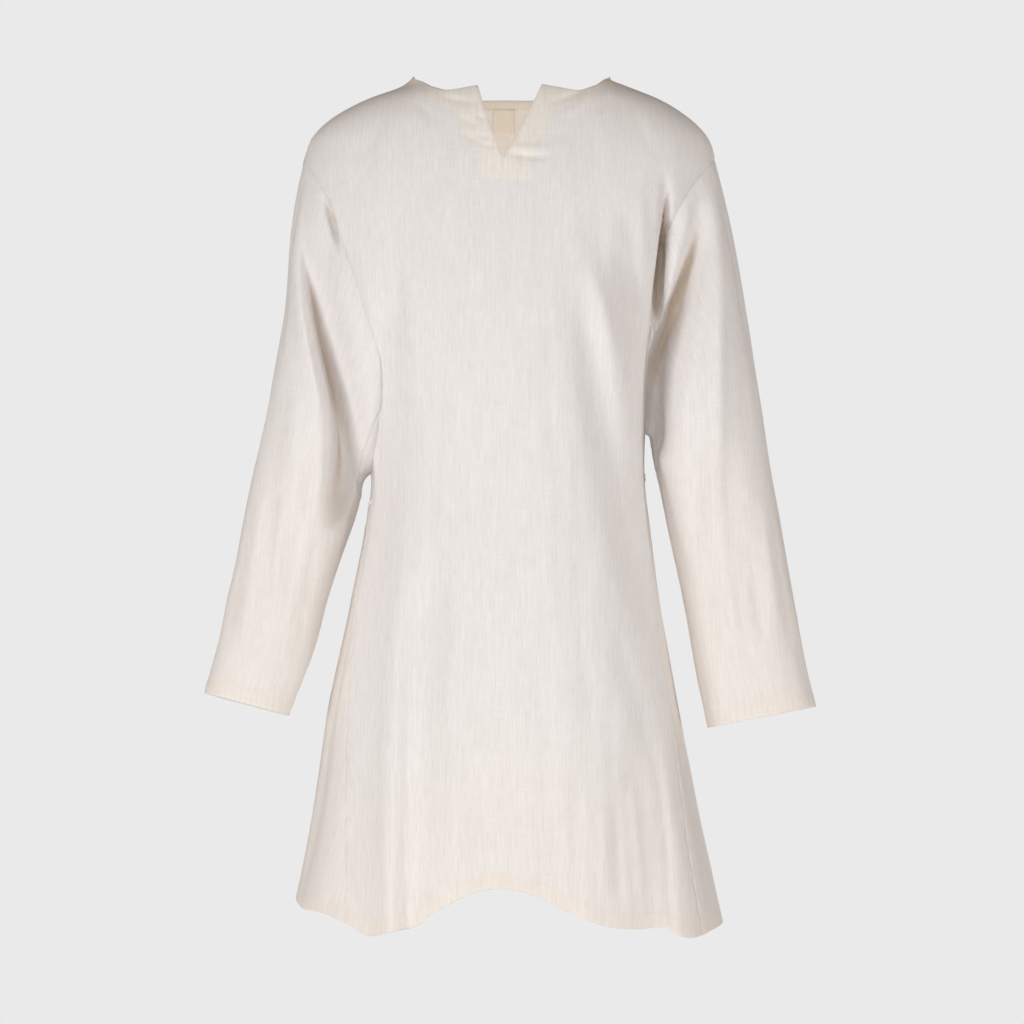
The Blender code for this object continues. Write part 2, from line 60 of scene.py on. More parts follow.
EDGE_ROUND = 0.0006
SEAM_GAP = 0.00008
SEAM_SINK = 0.00035
SHARP_ANGLE = math.radians(50)
WELD = 0.00002
TINY = 1e-12

# Neck: half width at the shoulder seams, edges of the front and the back as (x, z), the slit down
# the centre front, how soon the yoke's rows fall level, and over what height below the slit the
# columns centre again
NECK_HALF_WIDTH = 0.1195
NECK_FRONT = ((0.038, -0.0190), (0.058, -0.0225), (0.075, -0.0250), (0.092, -0.0215),
              (0.108, -0.0125), (NECK_HALF_WIDTH, 0.0))
NECK_BACK = ((0.0, -0.0205), (0.060, -0.0200), (0.100, -0.0130), (NECK_HALF_WIDTH, 0.0))
SLIT_FOOT = (-0.0095, -0.1105)
SLIT_HALF_WIDTH = {"right": 0.0318, "left": 0.0455}
SLIT_CURVE = {"right": 0.75, "left": 0.92}
NECK_FALL = 0.60
SLIT_CENTRING = 0.30

# Roundness of the body's sections and of the sleeve's rings: 2 is an ellipse
BODY_ROUNDNESS = 2.3
SLEEVE_ROUNDNESS = 2.15

# Heights on the side seams: dropped end of the shoulder, the gusset's corners, underarm, gore
SHOULDER_END = -0.102
GUSSET_CORNER = {"right": -0.400, "left": -0.375}
UNDERARM = {"right": -0.487, "left": -0.438}
GORE_TOP = {"right": -0.545, "left": -0.505}
CENTRE_CORNER = -0.400
CENTRE_GORE_TOP = -0.520

# Turn of the gore's seams at the hem, in degrees from the centre front or the centre back, and
# how fast they spread from its top
GORE_HEM_TURN = {("front", "right"): 48.0, ("front", "left"): 61.0,
                 ("back", "right"): 51.0, ("back", "left"): 44.0}
GORE_SPREAD = 0.60

# Grid of the drawn cloth: rows and columns for each one of the solid's
YOKE_FINE = 5
ARMHOLE_FINE = 8
GUSSET_FINE = 8
SKIRT_FINE = 10
COLUMN_FINE = 6
GORE_FINE = 7
FOLD_FINE = 8
SLEEVE_FINE = 8
YOKE_ROWS = 6 * YOKE_FINE
ARMHOLE_ROWS = 10 * ARMHOLE_FINE
GUSSET_ROWS = 4 * GUSSET_FINE
SKIRT_ROWS = 12 * SKIRT_FINE
HALF_COLUMNS = 11 * COLUMN_FINE
GORE_COLUMNS = 6 * GORE_FINE
FOLD_COLUMNS = 4 * FOLD_FINE
SLEEVE_ROWS = 18 * SLEEVE_FINE
GUSSET_SLEEVE_ROWS = 6 * SLEEVE_FINE

# Columns across a gusset's fold, -1 at its front corner, and rows along a sleeve, 1 at the cuff
FOLD_SHARES = np.linspace(-1, 1, FOLD_COLUMNS + 1)
SLEEVE_ALONGS = np.linspace(0, 1, SLEEVE_ROWS + 1)


def columns(names, rows):
    """A table as one array for each named column, in metres. Turns stay in degrees."""
    table = dict(zip(names.split(), np.array(rows, float).T))
    return {name: values if name == "turn" else values / 1000 for name, values in table.items()}


# Sections of the body: half width to each side, and depth to the front and to the back
BODY = columns("height right left front back", [
    (0, 119.5, 119.5, 62, 60),
    (-6, 125.5, 123, 68, 62),
    (-14, 136.5, 142.7, 73, 65),
    (-29, 177, 180, 83, 71),
    (-50, 217.5, 214.7, 93, 83),
    (-72, 242.7, 237.5, 101, 94),
    (-102, 255, 248, 110, 104),
    (-150, 261, 236, 120, 114),
    (-200, 255, 205, 128, 119),
    (-250, 244, 184, 134, 120),
    (-300, 227, 176, 138, 118),
    (-350, 207, 171.5, 140, 115),
    (-400, 189, 166.5, 141, 112),
    (-450, 177, 162.5, 141, 111),
    (-500, 172.5, 163, 141, 112),
    (-550, 179, 168, 142, 114),
    (-650, 198, 181.5, 146, 121),
    (-760, 221.5, 199.5, 152, 131),
    (-860, 237, 218, 158, 142),
    (-960, 254, 240, 165, 153),
    (-1050, 273, 262, 171, 162),
])

# Distance of the armhole's and gusset's seams from the centre line, as seen from the front
SIDE_SEAM = columns("height right_front right_back left_front left_back", [
    (-102, 255, 255, 248, 248),
    (-150, 226.6, 233, 212, 218),
    (-200, 209, 213, 186, 186),
    (-250, 190, 196, 173.5, 171),
    (-300, 174, 183, 169, 166),
    (-350, 158, 174, 165, 161),
    (-400, 156, 169, 160.5, 157),
    (-450, 159, 167, 158.5, 156),
    (-500, 166, 168, 164, 164),
    (-550, 182, 182, 180, 180),
])

# The hem's height around the body: turn from the centre front, towards the wearer's left
HEM = columns("turn height", [
    (-180, -990), (-174, -990.5), (-152, -1012), (-128, -1040), (-108, -1022), (-90, -1009),
    (-73, -1015), (-56, -1017.5), (-47, -1027), (-39, -1039), (-31, -1031), (-24.5, -1024.5),
    (-21, -1011.5), (-15, -995.5), (-9, -983), (0, -981), (8, -991), (16, -1008), (25, -1024),
    (34, -1030), (45, -1031), (52, -1042.5), (57, -1044), (67, -1040), (90, -1037), (108, -1043),
    (130, -1046), (152, -1016), (174, -990.5), (180, -990),
])

# Rings of each sleeve, from the armhole to the cuff: the place along it in thousandths, its outer
# and inner edge as seen from the front with their heights, how far its middle hangs forward, and
# its depth each way
SLEEVE = {
    "right": columns("along outer outer_z inner inner_z forward depth", [
        (0, 255, -102, 172, -487, 0, 100),
        (80, 263.5, -142, 178.5, -492, 0, 97),
        (160, 270, -185, 183, -499, 1, 92),
        (310, 279.5, -288, 187, -520, 4, 82),
        (460, 298.5, -404, 193.5, -544, 10, 71),
        (610, 320.5, -502, 206, -580, 20, 58),
        (760, 339, -604, 226, -646, 34, 47),
        (910, 360.5, -706, 248, -729, 52, 38),
        (1000, 372.5, -754.5, 270, -782, 62, 33),
    ]),
    "left": columns("along outer outer_z inner inner_z forward depth", [
        (0, 248, -102, 162.5, -438, 0, 98),
        (80, 258, -141, 170.3, -444.5, 0, 96),
        (160, 267.5, -184, 172, -460, 1, 91),
        (310, 286.5, -288, 176.5, -483, 3, 82),
        (460, 303, -392, 183, -512, 7, 71),
        (610, 320.5, -502, 192.5, -560, 13, 58),
        (760, 339.5, -612, 208.5, -633, 21, 47),
        (910, 358, -720, 226.5, -735, 30, 38),
        (1000, 371, -772, 238.5, -798, 36, 33),
    ]),
}

# How much a sleeve's front hangs lower than its back at the cuff, how far along it follows the
# armhole's loop, and how its columns crowd around the shoulder
SLEEVE_LEAN = {"right": 0.10, "left": 0.06}
ARMHOLE_EASE = 0.26
SLEEVE_TURN_EASE = 0.85

# Largest folds, close to those in the part's source: half widths towards -X and +X, depth, rise
# at the top, and the path as x, z, x, z and so on
FOLDS = {
    "front": (
        (22, 22, 7, 100, -142, -232, -156, -545, -173, -666, -187, -815, -166, -1100),
        (16, 14, -7, 150, -128, -517, -141, -758, -143, -1100),
        (16, 26, 9, 120, -90, -560, -112, -760, -120, -1100),
        (20, 20, 9, 80, 82, -250, 97, -362, 114, -455, 133, -529, 172, -690),
        (18, 18, -7, 80, 94, -240, 139, -414, 156, -500),
        (18, 18, 8, 60, 124, -200, 149, -276, 164, -370),
        (26, 26, 6, 120, 130, -760, 150, -900, 168, -1100),
        (22, 22, -6, 120, 180, -700, 200, -880, 210, -1100),
        (8, 23, 90, 290, -252, -150, -247, -240, -236, -308, -225, -360, -216, -402, -212, -440,
         -214, -500, -219, -560),
        (9, 16, 100, 260, 232, -126, 222, -195, 206, -260, 190, -310, 178, -345, 173, -390,
         173, -430, 174, -475),
        (4, 6, 55, 120, 184, -120, 182, -200, 178, -262, 174, -325),
    ),
    "back": (
        (28, 28, 9, 120, -120, -240, -110, -480, -90, -700, -80, -1100),
        (24, 24, 8, 120, -160, -600, -180, -850, -185, -1100),
        (24, 24, -7, 120, -128, -560, -132, -800, -135, -1100),
        (32, 32, 7, 120, 10, -560, 0, -800, -10, -1100),
        (28, 28, 10, 120, 118, -220, 105, -500, 95, -760, 90, -1100),
        (24, 24, -8, 120, 150, -640, 160, -850, 165, -1100),
        (20, 20, 35, 280, -247, -150, -236, -300, -215, -400, -200, -560),
        (18, 18, 30, 240, 238, -150, 222, -260, 204, -380, 192, -520),
    ),
}

# Folds: the height over which they end, the depth near the side over which they fade, the most
# that they press in as a share, and the least depth that this is reckoned from
FOLD_FOOT = 0.05
FOLD_EDGE = 0.055
FOLD_LIMIT = 0.86
FOLD_LEAST = 0.0015

# Neck facings: the drawn rows and columns that they cover, as far as one of the solid's
FACING_NECK_ROWS = YOKE_FINE
FACING_SLIT_ROWS = YOKE_ROWS + ARMHOLE_FINE
FACING_SLIT_COLUMNS = COLUMN_FINE

# Label: where it lies, as shares of the yoke's height and in x, its grid, and the rounds that
# settle it on the back
LABEL_ROWS = (0.70 / 6, 2.70 / 6)
LABEL_ACROSS = (-0.024, 0.003)
LABEL_GRID = (12, 12)
LABEL_ROUNDS = 4

# Outline of the front facing where it shows through the linen, as (x, z)
FACING_OUTLINE = np.array([
    (-140, 20), (-130, -14), (-112, -34), (-92, -45), (-73, -51), (-60.3, -64), (-60.3, -80),
    (-47.1, -92), (-36.2, -104.5), (-36.2, -138), (22.9, -137.5), (22.9, -116), (24.1, -100.5),
    (39.8, -76.4), (48, -54), (66, -46), (88, -41), (108, -30), (126, -14), (140, 20),
]) / 1000

# Smaller creases placed one by one: half width, depth with troughs positive, and the path, as x, z
# and so on at the front and back and as y, z and so on at the sides
CREASES = {
    "front": (
        # chest and belly, wearer's right
        (10, 1.8, -150, -170, -138, -260, -132, -380),
        (8, -2.1, -186, -200, -170, -290, -160, -380),
        (12, -1.8, -118, -300, -124, -460, -132, -600),
        (12, 1.2, -88, -420, -96, -580, -100, -700),
        # skirt, wearer's right
        (16, -3.5, -56, -560, -66, -760, -72, -980),
        (13, 3, -160, -560, -171, -760, -178, -980),
        (10, 2.7, -205, -700, -222, -850, -236, -990),
        (6, 2.4, -186, -860, -192, -940, -187, -1040),
        (7, -2.1, -214, -800, -226, -900, -228, -1010),
        (7, -2.2, -150, -780, -151, -900, -149, -1040),
        (9, 2.1, -104, -800, -106, -900, -112, -1010),
        (14, -1.8, -60, -720, -62, -860, -66, -990),
        (12, 1.2, -30, -800, -34, -900, -40, -985),
        # chest, wearer's left
        (12, -2.4, 72, -200, 106, -280, 124, -360),
        (9, 2.4, 128, -160, 150, -240, 160, -320),
        (8, -2.1, 150, -150, 165, -230, 170, -300),
        (9, 1.8, 120, -330, 140, -430, 152, -520),
        (14, -2.1, 100, -520, 128, -640, 160, -760),
        # skirt, wearer's left
        (12, 2.1, 130, -680, 150, -760, 176, -860),
        (5, 2, 122, -860, 126, -940, 130, -1015),
        (6, -1.5, 108, -880, 110, -950, 110, -1010),
        (6, -2, 142, -850, 150, -940, 156, -1020),
        (6, 2.2, 172, -820, 184, -920, 190, -1030),
        (7, 1.8, 222, -860, 232, -940, 240, -1040),
        (12, -1.5, 60, -840, 62, -920, 68, -1000),
        # yoke and neck
        (3.5, 2.4, 94, -21, 72, -32, 46, -45),
        (6, -1.5, 100, -30, 80, -46, 60, -62),
        (3.2, 2.7, -3, -106, 22, -109, 50, -110),
        (5, -1.5, -4, -98, 20, -100, 44, -101),
        (5, 1.2, 46, -92, 58, -84, 70, -80),
        (3.5, 1.7, -60, -60, -52, -66, -46, -74),
        (3, 1.4, -46, -57, -36, -61, -30, -62),
        (3.5, 1.5, -58, -80, -48, -88, -38, -92),
        (3, 1.4, -40, -82, -30, -86, -24, -88),
        (2.5, 1.8, -36, -94, -28, -96, -20, -97),
        (4, 1.5, -86, -34, -62, -40, -42, -44),
        (6, 1.5, -118, -40, -104, -52, -94, -70),
        (4, 1.8, 119, -30, 112, -42, 104, -56),
        (4, 1.5, 132, -34, 130, -52, 126, -70),
        (8, 1.4, 150, -50, 160, -80, 168, -110),
        (8, 1.4, -150, -50, -166, -80, -176, -110),
        # wearer's right sleeve, with the hollow beside the body's overhanging edge
        (4, 14, -227, -152, -217, -188, -208, -220),
        (4, -3.5, -218, -156, -208, -188, -200, -218),
        (8, -3.3, -262, -150, -262, -260, -250, -360),
        (7, 2.4, -226, -180, -222, -240, -212, -300),
        (7, -3.6, -236, -300, -222, -400, -212, -470),
        (10, -2.7, -262, -380, -262, -480, -250, -580),
        (9, 2.7, -284, -420, -292, -540, -300, -640),
        (8, 3, -240, -480, -256, -560, -270, -640),
        (7, -2.7, -270, -500, -282, -580, -290, -680),
        (8, -2.1, -304, -520, -316, -620, -328, -700),
        (8, 2.1, -234, -560, -246, -630, -258, -700),
        (6, 1.8, -300, -640, -306, -680, -314, -720),
        (7, 1.8, -322, -560, -336, -640, -344, -700),
        (6, -2.4, -206, -420, -208, -470, -216, -520),
        # wearer's left sleeve, with the body's fold over the armhole's seam
        (6, -4, 176, -190, 171, -300, 165, -380, 159, -450),
        (10, -5, 248, -140, 250, -260, 248, -400, 252, -560, 270, -720),
        (7, 2.7, 226, -160, 222, -230, 212, -300),
        (9, 2.1, 238, -180, 240, -280, 234, -380),
        (12, 3.9, 282, -260, 284, -380, 290, -520),
        (8, 2.4, 222, -400, 224, -500, 222, -600),
        (8, -2.4, 240, -440, 240, -540, 244, -620),
        (8, 2.7, 286, -560, 296, -640, 304, -700),
        (8, -2.4, 302, -500, 312, -600, 324, -680),
        (8, 2.1, 320, -560, 332, -640, 344, -710),
        (8, 1.8, 232, -620, 244, -680, 250, -740),
        (7, -1.8, 256, -600, 266, -660, 278, -700),
        (6, 1.5, 262, -690, 282, -700, 300, -720),
    ),
    "back": (
        (14, 1.8, -60, -120, -70, -220, -66, -320),
        (14, 2.1, 64, -110, 74, -230, 66, -340),
        (3, 2.4, 0, -30, 0, -50, 1, -64),
        (18, -2.1, 4, -160, 10, -300, 4, -440),
        (10, 2.4, -140, -160, -150, -260, -146, -360),
        (10, 2.4, 140, -150, 148, -270, 142, -380),
        (14, 2.4, -70, -420, -58, -600, -54, -760),
        (16, -2.4, 56, -400, 50, -600, 46, -780),
        (12, -2.4, -30, -640, -36, -820, -44, -1000),
        (9, 2.4, 56, -760, 60, -880, 58, -1000),
        (10, 2.7, 120, -780, 126, -900, 128, -1020),
        (8, 2.4, -106, -820, -110, -920, -112, -1020),
        (10, -2.4, -206, -760, -220, -900, -232, -1030),
        (10, 2.7, 206, -780, 222, -900, 236, -1040),
        (10, -3, -264, -180, -268, -320, -262, -440),
        (9, 3, -228, -240, -230, -360, -226, -470),
        (10, 3, -270, -440, -284, -560, -300, -680),
        (9, -2.4, -244, -520, -262, -620, -284, -720),
        (9, -2.1, -306, -480, -324, -600, -340, -700),
        (10, -3.3, 256, -180, 268, -320, 266, -440),
        (9, 3, 226, -220, 226, -340, 218, -440),
        (10, 3, 272, -440, 286, -560, 302, -680),
        (9, -2.4, 238, -500, 252, -620, 270, -720),
        (9, -2.1, 306, -480, 322, -600, 336, -700),
    ),
    "right": (
        (10, 2.4, -30, -130, -34, -240, -40, -340),
        (12, 2.7, 20, -140, 16, -280, 12, -420),
        (9, -2.4, 44, -300, 30, -420, 14, -520),
        (9, 2.4, -20, -380, -30, -500, -46, -640),
        (12, 3.3, -40, -640, -48, -800, -54, -1000),
        (14, -3.6, 20, -640, 22, -820, 18, -1000),
        (10, 3, 60, -680, 70, -840, 74, -1020),
        (9, -2.4, -86, -760, -98, -880, -104, -1010),
    ),
    "left": (
        (10, 2.7, -30, -130, -36, -260, -32, -380),
        (12, 2.4, 24, -130, 22, -260, 16, -400),
        (9, -2.4, 42, -280, 34, -420, 22, -540),
        (9, 2.4, -18, -420, -26, -540, -34, -660),
        (12, 3.3, -44, -600, -52, -800, -60, -1020),
        (14, -3.6, 16, -620, 14, -820, 10, -1030),
        (10, 3.3, 56, -640, 68, -840, 76, -1030),
        (9, -2.4, -92, -800, -104, -900, -112, -1030),
    ),
}

# Creases: points along each path, half widths out to which they are drawn, how their ends taper,
# and how strictly a face's creases stay on cloth that faces its way
CREASE_SAMPLES = 14
CREASE_REACH = 3
CREASE_TAPER = 0.7
CREASE_FACING = 1.5

# Slow unevenness of worn linen: number of waves, their lengths, spread and stretch, and their
# height together
RIPPLE_WAVES = 26
RIPPLE_LENGTH = (0.018, 0.075)
RIPPLE_SPREAD = 0.5
RIPPLE_STRETCH = 3.2
RIPPLE_HEIGHT = 0.0010
RIPPLE_SEED = 11

# Puckers beside the seams: how far out they reach, their waves, lengths and height, and the
# trough that the seam itself lies in
PUCKER_REACH = 0.007
PUCKER_WAVES = 18
PUCKER_LENGTH = (0.007, 0.016)
PUCKER_HEIGHT = 0.00045
PUCKER_SEED = 5
SEAM_TROUGH = 0.00030
TROUGH_REACH = 0.0025

# Steps of the measure around a level section
AROUND_STEPS = 25

# Stitches: spacing, length, thread, and sides and rings of their beads, how far below a turn-up's
# end the rows run, and how far inside the label's edge, as a share of a cell of its grid
STITCH_STEP = 0.0034
STITCH_LENGTH = 0.0024
THREAD_RADIUS = 0.00020
BEAD = {"Segments": 6, "Rings": 4, "Radius": 1.0}
STITCH_FROM_FOLD = 0.0018
LABEL_STITCH_IN = 0.45
LABEL_STITCH_STEP = 0.0021
LABEL_STITCH_LENGTH = 0.0015

# Stands for a distance from a free edge on cloth that has none
NO_EDGE = 9.0

# Finishes, as linear colours: pale linen, the cream of its ends that is a painted glow of warm
# light, its creamier turn-ups, the linen with a facing behind it, the facing, the label's tape and
# the thread
LINEN_COLOUR = (0.765, 0.724, 0.697)
PAINTED_GLOW_COLOUR = (0.770, 0.712, 0.660)
TURNED_COLOUR = (0.776, 0.706, 0.640)
FACED_COLOUR = (0.801, 0.742, 0.680)
FACING_COLOUR = (0.775, 0.712, 0.642)
TAPE_COLOUR = (0.750, 0.690, 0.600)
THREAD_COLOUR = (0.706, 0.656, 0.606)
SPECULAR = 0.25
SHEEN_ROUGHNESS = 0.6
LINEN_SHEEN = 0.08
FINE_SHEEN = 0.05

# Roughness of the linen, the tape and the thread, and how much their grain lowers it
LINEN_ROUGH, LINEN_ROUGH_DROP = 0.98, 0.6
TAPE_ROUGH, TAPE_ROUGH_DROP = 0.75, 0.15
THREAD_ROUGH, THREAD_ROUGH_DROP = 0.9, 0.2

# Grain of the linen: its rate across and down in cells per metre, detail and seed, and how much
# it changes the tone
WARP = (620.0, 42.0, 3.0, 1.0)
LONG_WARP = (260.0, 12.0, 2.0, 4.0)
WEFT = (34.0, 700.0, 2.0, 7.0)
PATCHES = (14.0, 9.0, 3.0, 11.0)
WARP_TONE = 0.25
LONG_WARP_TONE = 0.13
WEFT_TONE = 0.12
PATCH_TONE = 0.03

# Weave: distance of the threads, how far they wander in such distances, the bump's height and
# strength, and how soft the edges of the turn-ups' and the facing's tone are
THREAD_PITCH = 0.00065
THREAD_WANDER = 4.0
WEAVE_HEIGHT = 0.00018
WEAVE_BUMP = 0.55
TURNED_EDGE = 0.001
FACING_EDGE = 0.0006

# Label tape and sewing thread: their grain, its tone, the tape's ribs, and their bumps
TAPE_GRAIN = (500.0, 900.0, 2.0, 3.0)
TAPE_TONE = 0.14
TAPE_RIB = 0.0006
RIB_TONE = 0.05
TAPE_BUMP = 0.5
THREAD_GRAIN = 2500.0
THREAD_TONE = 0.3
THREAD_BUMP = 0.4
FINE_HEIGHT = 0.0001

# Distances from the free edges over which the cloth turns from cream, a painted glow of warm light
# through the linen, to pale
PANEL_CREAM = (-0.10, 0.35)
SLEEVE_CREAM = (0.12, 0.45)
GORE_CREAM = (0.40, 0.70)

# Painted shade in deep folds, darker and warmer as if light had passed from cloth to cloth: rounds
# of the smoothing that finds them, their depths, the distances from a free edge where they set in,
# and the painted shade's colour
HOLLOW_ROUNDS = 120
HOLLOW_DEPTH = (0.0004, 0.0120)
HOLLOW_FROM_END = (0.24, 0.36)
HOLLOW_PAINTED_SHADE = (0.80, 0.71, 0.61)

# Stage: size of a pixel at the tunic and of the picture, camera, backdrop, light and floor
PIXEL = 0.00123
PICTURE_SIZE = 1024
CAMERA_BACK = 4.0
CAMERA_HEIGHT = -0.535
BACKDROP_GREY = 0.823
AMBIENT = (0.240, 0.200, 0.165)
KEY_TINT = (0.972, 1.010, 1.050)
INSIDE_TINT = (1.0, 0.95, 0.87)
FLOOR_HEIGHT = -1.45
FLOOR_RADIUS = 1.70
FLOOR_SIDES = 96
FLOOR_GREY = 0.78
FLOOR_ROUGHNESS = 0.9

# Lights: place, where it aims, width and height, watts and colour
LIGHTS = {
    "key": ((-2.9, -2.8, -0.75), (0.0, 0.0, -0.55), (1.8, 1.6), 86.0, KEY_TINT),
    "front": ((-0.2, -3.9, -0.70), (0.0, 0.0, -0.55), (2.0, 1.8), 38.0, KEY_TINT),
    "fill": ((3.0, -2.5, -0.70), (0.0, 0.0, -0.55), (1.8, 1.8), 59.0, KEY_TINT),
    "behind": ((0.6, 3.4, -0.2), (0.0, 0.0, -0.5), (2.2, 2.0), 105.0, KEY_TINT),
    "inside": ((0.0, -0.03, -0.26), (0.0, 0.10, -0.06), (0.14, 0.10), 0.36, INSIDE_TINT),
}


def through(xs, ys, x):
    """A smooth curve through the points (xs, ys), read at x and level beyond both ends."""
    order = np.argsort(xs)
    xs = np.asarray(xs, float)[order]
    ys = np.asarray(ys, float)[order]
    slope = np.gradient(ys, xs)
    x = np.clip(x, xs[0], xs[-1])
    i = np.clip(np.searchsorted(xs, x) - 1, 0, len(xs) - 2)
    step = xs[i + 1] - xs[i]
    t = (x - xs[i]) / step
    return ((1 + 2 * t) * (1 - t) ** 2 * ys[i] + t * (1 - t) ** 2 * step * slope[i]
            + t * t * (3 - 2 * t) * ys[i + 1] + t * t * (t - 1) * step * slope[i + 1])


def ease(t):
    """From 0 to 1 with soft ends."""
    t = np.clip(t, 0.0, 1.0)
    return t * t * (3 - 2 * t)


def body_size(way, z):
    return through(BODY["height"], BODY[way], z)


def sign_of(side):
    """-1 on the wearer's right and 1 on the left, as in x."""
    return 1 if side == "left" else -1


def fold_depth(face, x, z):
    """How far the folds of one face pull the cloth in at (x, z)."""
    total = np.zeros(np.broadcast(x, z).shape)
    for row in FOLDS[face]:
        right, left, depth, rise, *path = np.array(row) / 1000
        path_x, path_z = np.reshape(path, (-1, 2)).T
        across = x - through(path_z, path_x, z)
        across = across / np.where(across < 0, right, left)
        fade = ease((path_z[0] - z) / rise) * ease((z - path_z[-1]) / FOLD_FOOT)
        total += depth * np.exp(-across ** 2) * fade
    return total


def folded(x, y, z, middle):
    """Points with the folds pressed in towards y = middle, by most of the way at the very most."""
    out = np.abs(y - middle)
    depth = np.where(y < middle, fold_depth("front", x, z), fold_depth("back", x, z))
    press = depth * ease(out / FOLD_EDGE) / np.maximum(out, FOLD_LEAST) / FOLD_LIMIT
    kept = 1 - FOLD_LIMIT + FOLD_LIMIT * np.exp(-press)
    return np.stack(np.broadcast_arrays(x, middle + (y - middle) * kept, z), axis=-1)


def section(left, front, z):
    """Half width and depth of the body at z, to the left or right and to the front or back."""
    return (np.where(left, body_size("left", z), body_size("right", z)),
            np.where(front, body_size("front", z), body_size("back", z)))


def round_off(across):
    """Share of the depth that is left at a share of the half width."""
    return np.clip(1 - across ** BODY_ROUNDNESS, 0, 1) ** (1 / BODY_ROUNDNESS)


def body_base(turn, z):
    """The body's surface at a turn from the centre front, in degrees, positive to the left."""
    turn = np.radians(turn)
    across = np.sin(turn)
    width, depth = section(across > 0, np.cos(turn) > 0, z)
    fore = np.where(np.cos(turn) > 0, -1, 1)
    return width * across, fore * depth * round_off(np.abs(across)), z + 0 * across


def body(turn, z, press=True):
    """The body's surface, with the folds pressed in or without them."""
    base = body_base(turn, z)
    return folded(*base, 0.0) if press else np.stack(base, axis=-1)


def body_across(points, from_side=False):
    """Level distance around the body from the centre of a face, or from the side line."""
    x, y, z = np.moveaxis(points, -1, 0)
    width, depth = section(x > 0, y < 0, z)

    def reach(turn):
        sine = np.sin(turn[..., None] * np.linspace(0, 1, AROUND_STEPS))
        flank = depth[..., None] * round_off(sine)
        return np.hypot(np.diff(width[..., None] * sine), np.diff(flank)).sum(-1)

    away = reach(np.arcsin(np.clip(np.abs(x) / width, 0, 1)))
    if from_side:
        return np.sign(y) * (reach(np.full(x.shape, np.pi / 2)) - away)
    return np.sign(x) * away


def facing_turn(face, side, turn):
    """A turn from the centre of one face, as a turn from the centre front."""
    return sign_of(side) * (turn if face == "front" else 180 - turn)


def turn_at(side, x, z):
    """The turn at which the body is a distance x from the centre line, towards this side."""
    other = "left" if side == "right" else "right"
    width = np.where(np.asarray(x) < 0, body_size(other, z), body_size(side, z))
    return np.degrees(np.arcsin(np.clip(x / width, -1, 1)))


def side_seam_turn(face, side, z):
    return turn_at(side, through(SIDE_SEAM["height"], SIDE_SEAM[side + "_" + face], z), z)


def hem_height(turn):
    return through(HEM["turn"], HEM["height"], turn)


def armhole_height(side, turn):
    """Height on the armhole at a turn around it, 0 at the shoulder and 180 under the arm."""
    drop = (1 - np.cos(np.radians(turn))) / 2
    return SHOULDER_END + (UNDERARM[side] - SHOULDER_END) * drop


def corner_turn(side):
    """The armhole's turn at the gusset's corner."""
    drop = (GUSSET_CORNER[side] - SHOULDER_END) / (UNDERARM[side] - SHOULDER_END)
    return np.degrees(np.arccos(1 - 2 * drop))


def armhole_turns(side):
    """Turns of the points that a panel and a sleeve share on the armhole's seam."""
    return corner_turn(side) * np.linspace(0, 1, ARMHOLE_ROWS + 1) ** SLEEVE_TURN_EASE


def armhole_base(side, turn):
    """The armhole's loop on the body: the seam of each face, and the gusset's fold between."""
    turn = np.asarray(turn, float)
    half = np.where(turn > 180, 360 - turn, turn)
    z = armhole_height(side, half)
    corner = corner_turn(side)
    share = np.clip((half - corner) / (180 - corner), 0, 1)
    seam = {face: side_seam_turn(face, side, np.maximum(z, GUSSET_CORNER[side]))
            for face in ("front", "back")}
    turned = {face: seam[face] + (90 - seam[face]) * share for face in seam}
    around = np.where(turn > 180, facing_turn("back", side, turned["back"]),
                      facing_turn("front", side, turned["front"]))
    return np.stack(body_base(around, z), axis=-1)


def ring_base(side, turn, along):
    """A sleeve's own rings, before they are fitted to the armhole."""
    table = SLEEVE[side]
    row = {name: through(table["along"], table[name], along) for name in table}
    cosine = np.cos(np.radians(turn))
    sine = np.sin(np.radians(turn))
    power = 2 / SLEEVE_ROUNDNESS
    lengthwise = np.sign(cosine) * np.abs(cosine) ** power
    depthwise = np.sign(sine) * np.abs(sine) ** power * row["depth"]
    x = (row["outer"] + row["inner"]) / 2 + (row["outer"] - row["inner"]) / 2 * lengthwise
    z = (row["outer_z"] + row["inner_z"]) / 2 + (row["outer_z"] - row["inner_z"]) / 2 * lengthwise
    lean = SLEEVE_LEAN[side] * along
    return np.stack([sign_of(side) * x, -row["forward"] - depthwise, z + lean * depthwise], axis=-1)


def sleeve(side, turn, along, press=True):
    """A sleeve's surface: 0 is its outer edge, 90 the front, 180 under the arm, 270 the back."""
    turn, along = np.broadcast_arrays(np.asarray(turn, float), np.asarray(along, float))
    left_over = (1 - ease(along / ARMHOLE_EASE))[..., None]
    start = armhole_base(side, turn) - ring_base(side, turn, 0 * along)
    base = ring_base(side, turn, along) + start * left_over
    middle = -through(SLEEVE[side]["along"], SLEEVE[side]["forward"], along)
    return folded(*np.moveaxis(base, -1, 0), middle) if press else base


def neck_height(face, side, turn):
    """The neck edge's height over a turn from the centre of one face."""
    points = np.array(NECK_FRONT if face == "front" else NECK_BACK)
    turns = turn_at(side, points[:, 0], points[:, 1])
    turns[-1] = 90
    return through(turns, points[:, 1], turn)


def slit_edge(side, share):
    """Distance of the slit's edge from the centre line, positive towards this side."""
    return sign_of(side) * SLIT_FOOT[0] + SLIT_HALF_WIDTH[side] * (1 - share) ** SLIT_CURVE[side]


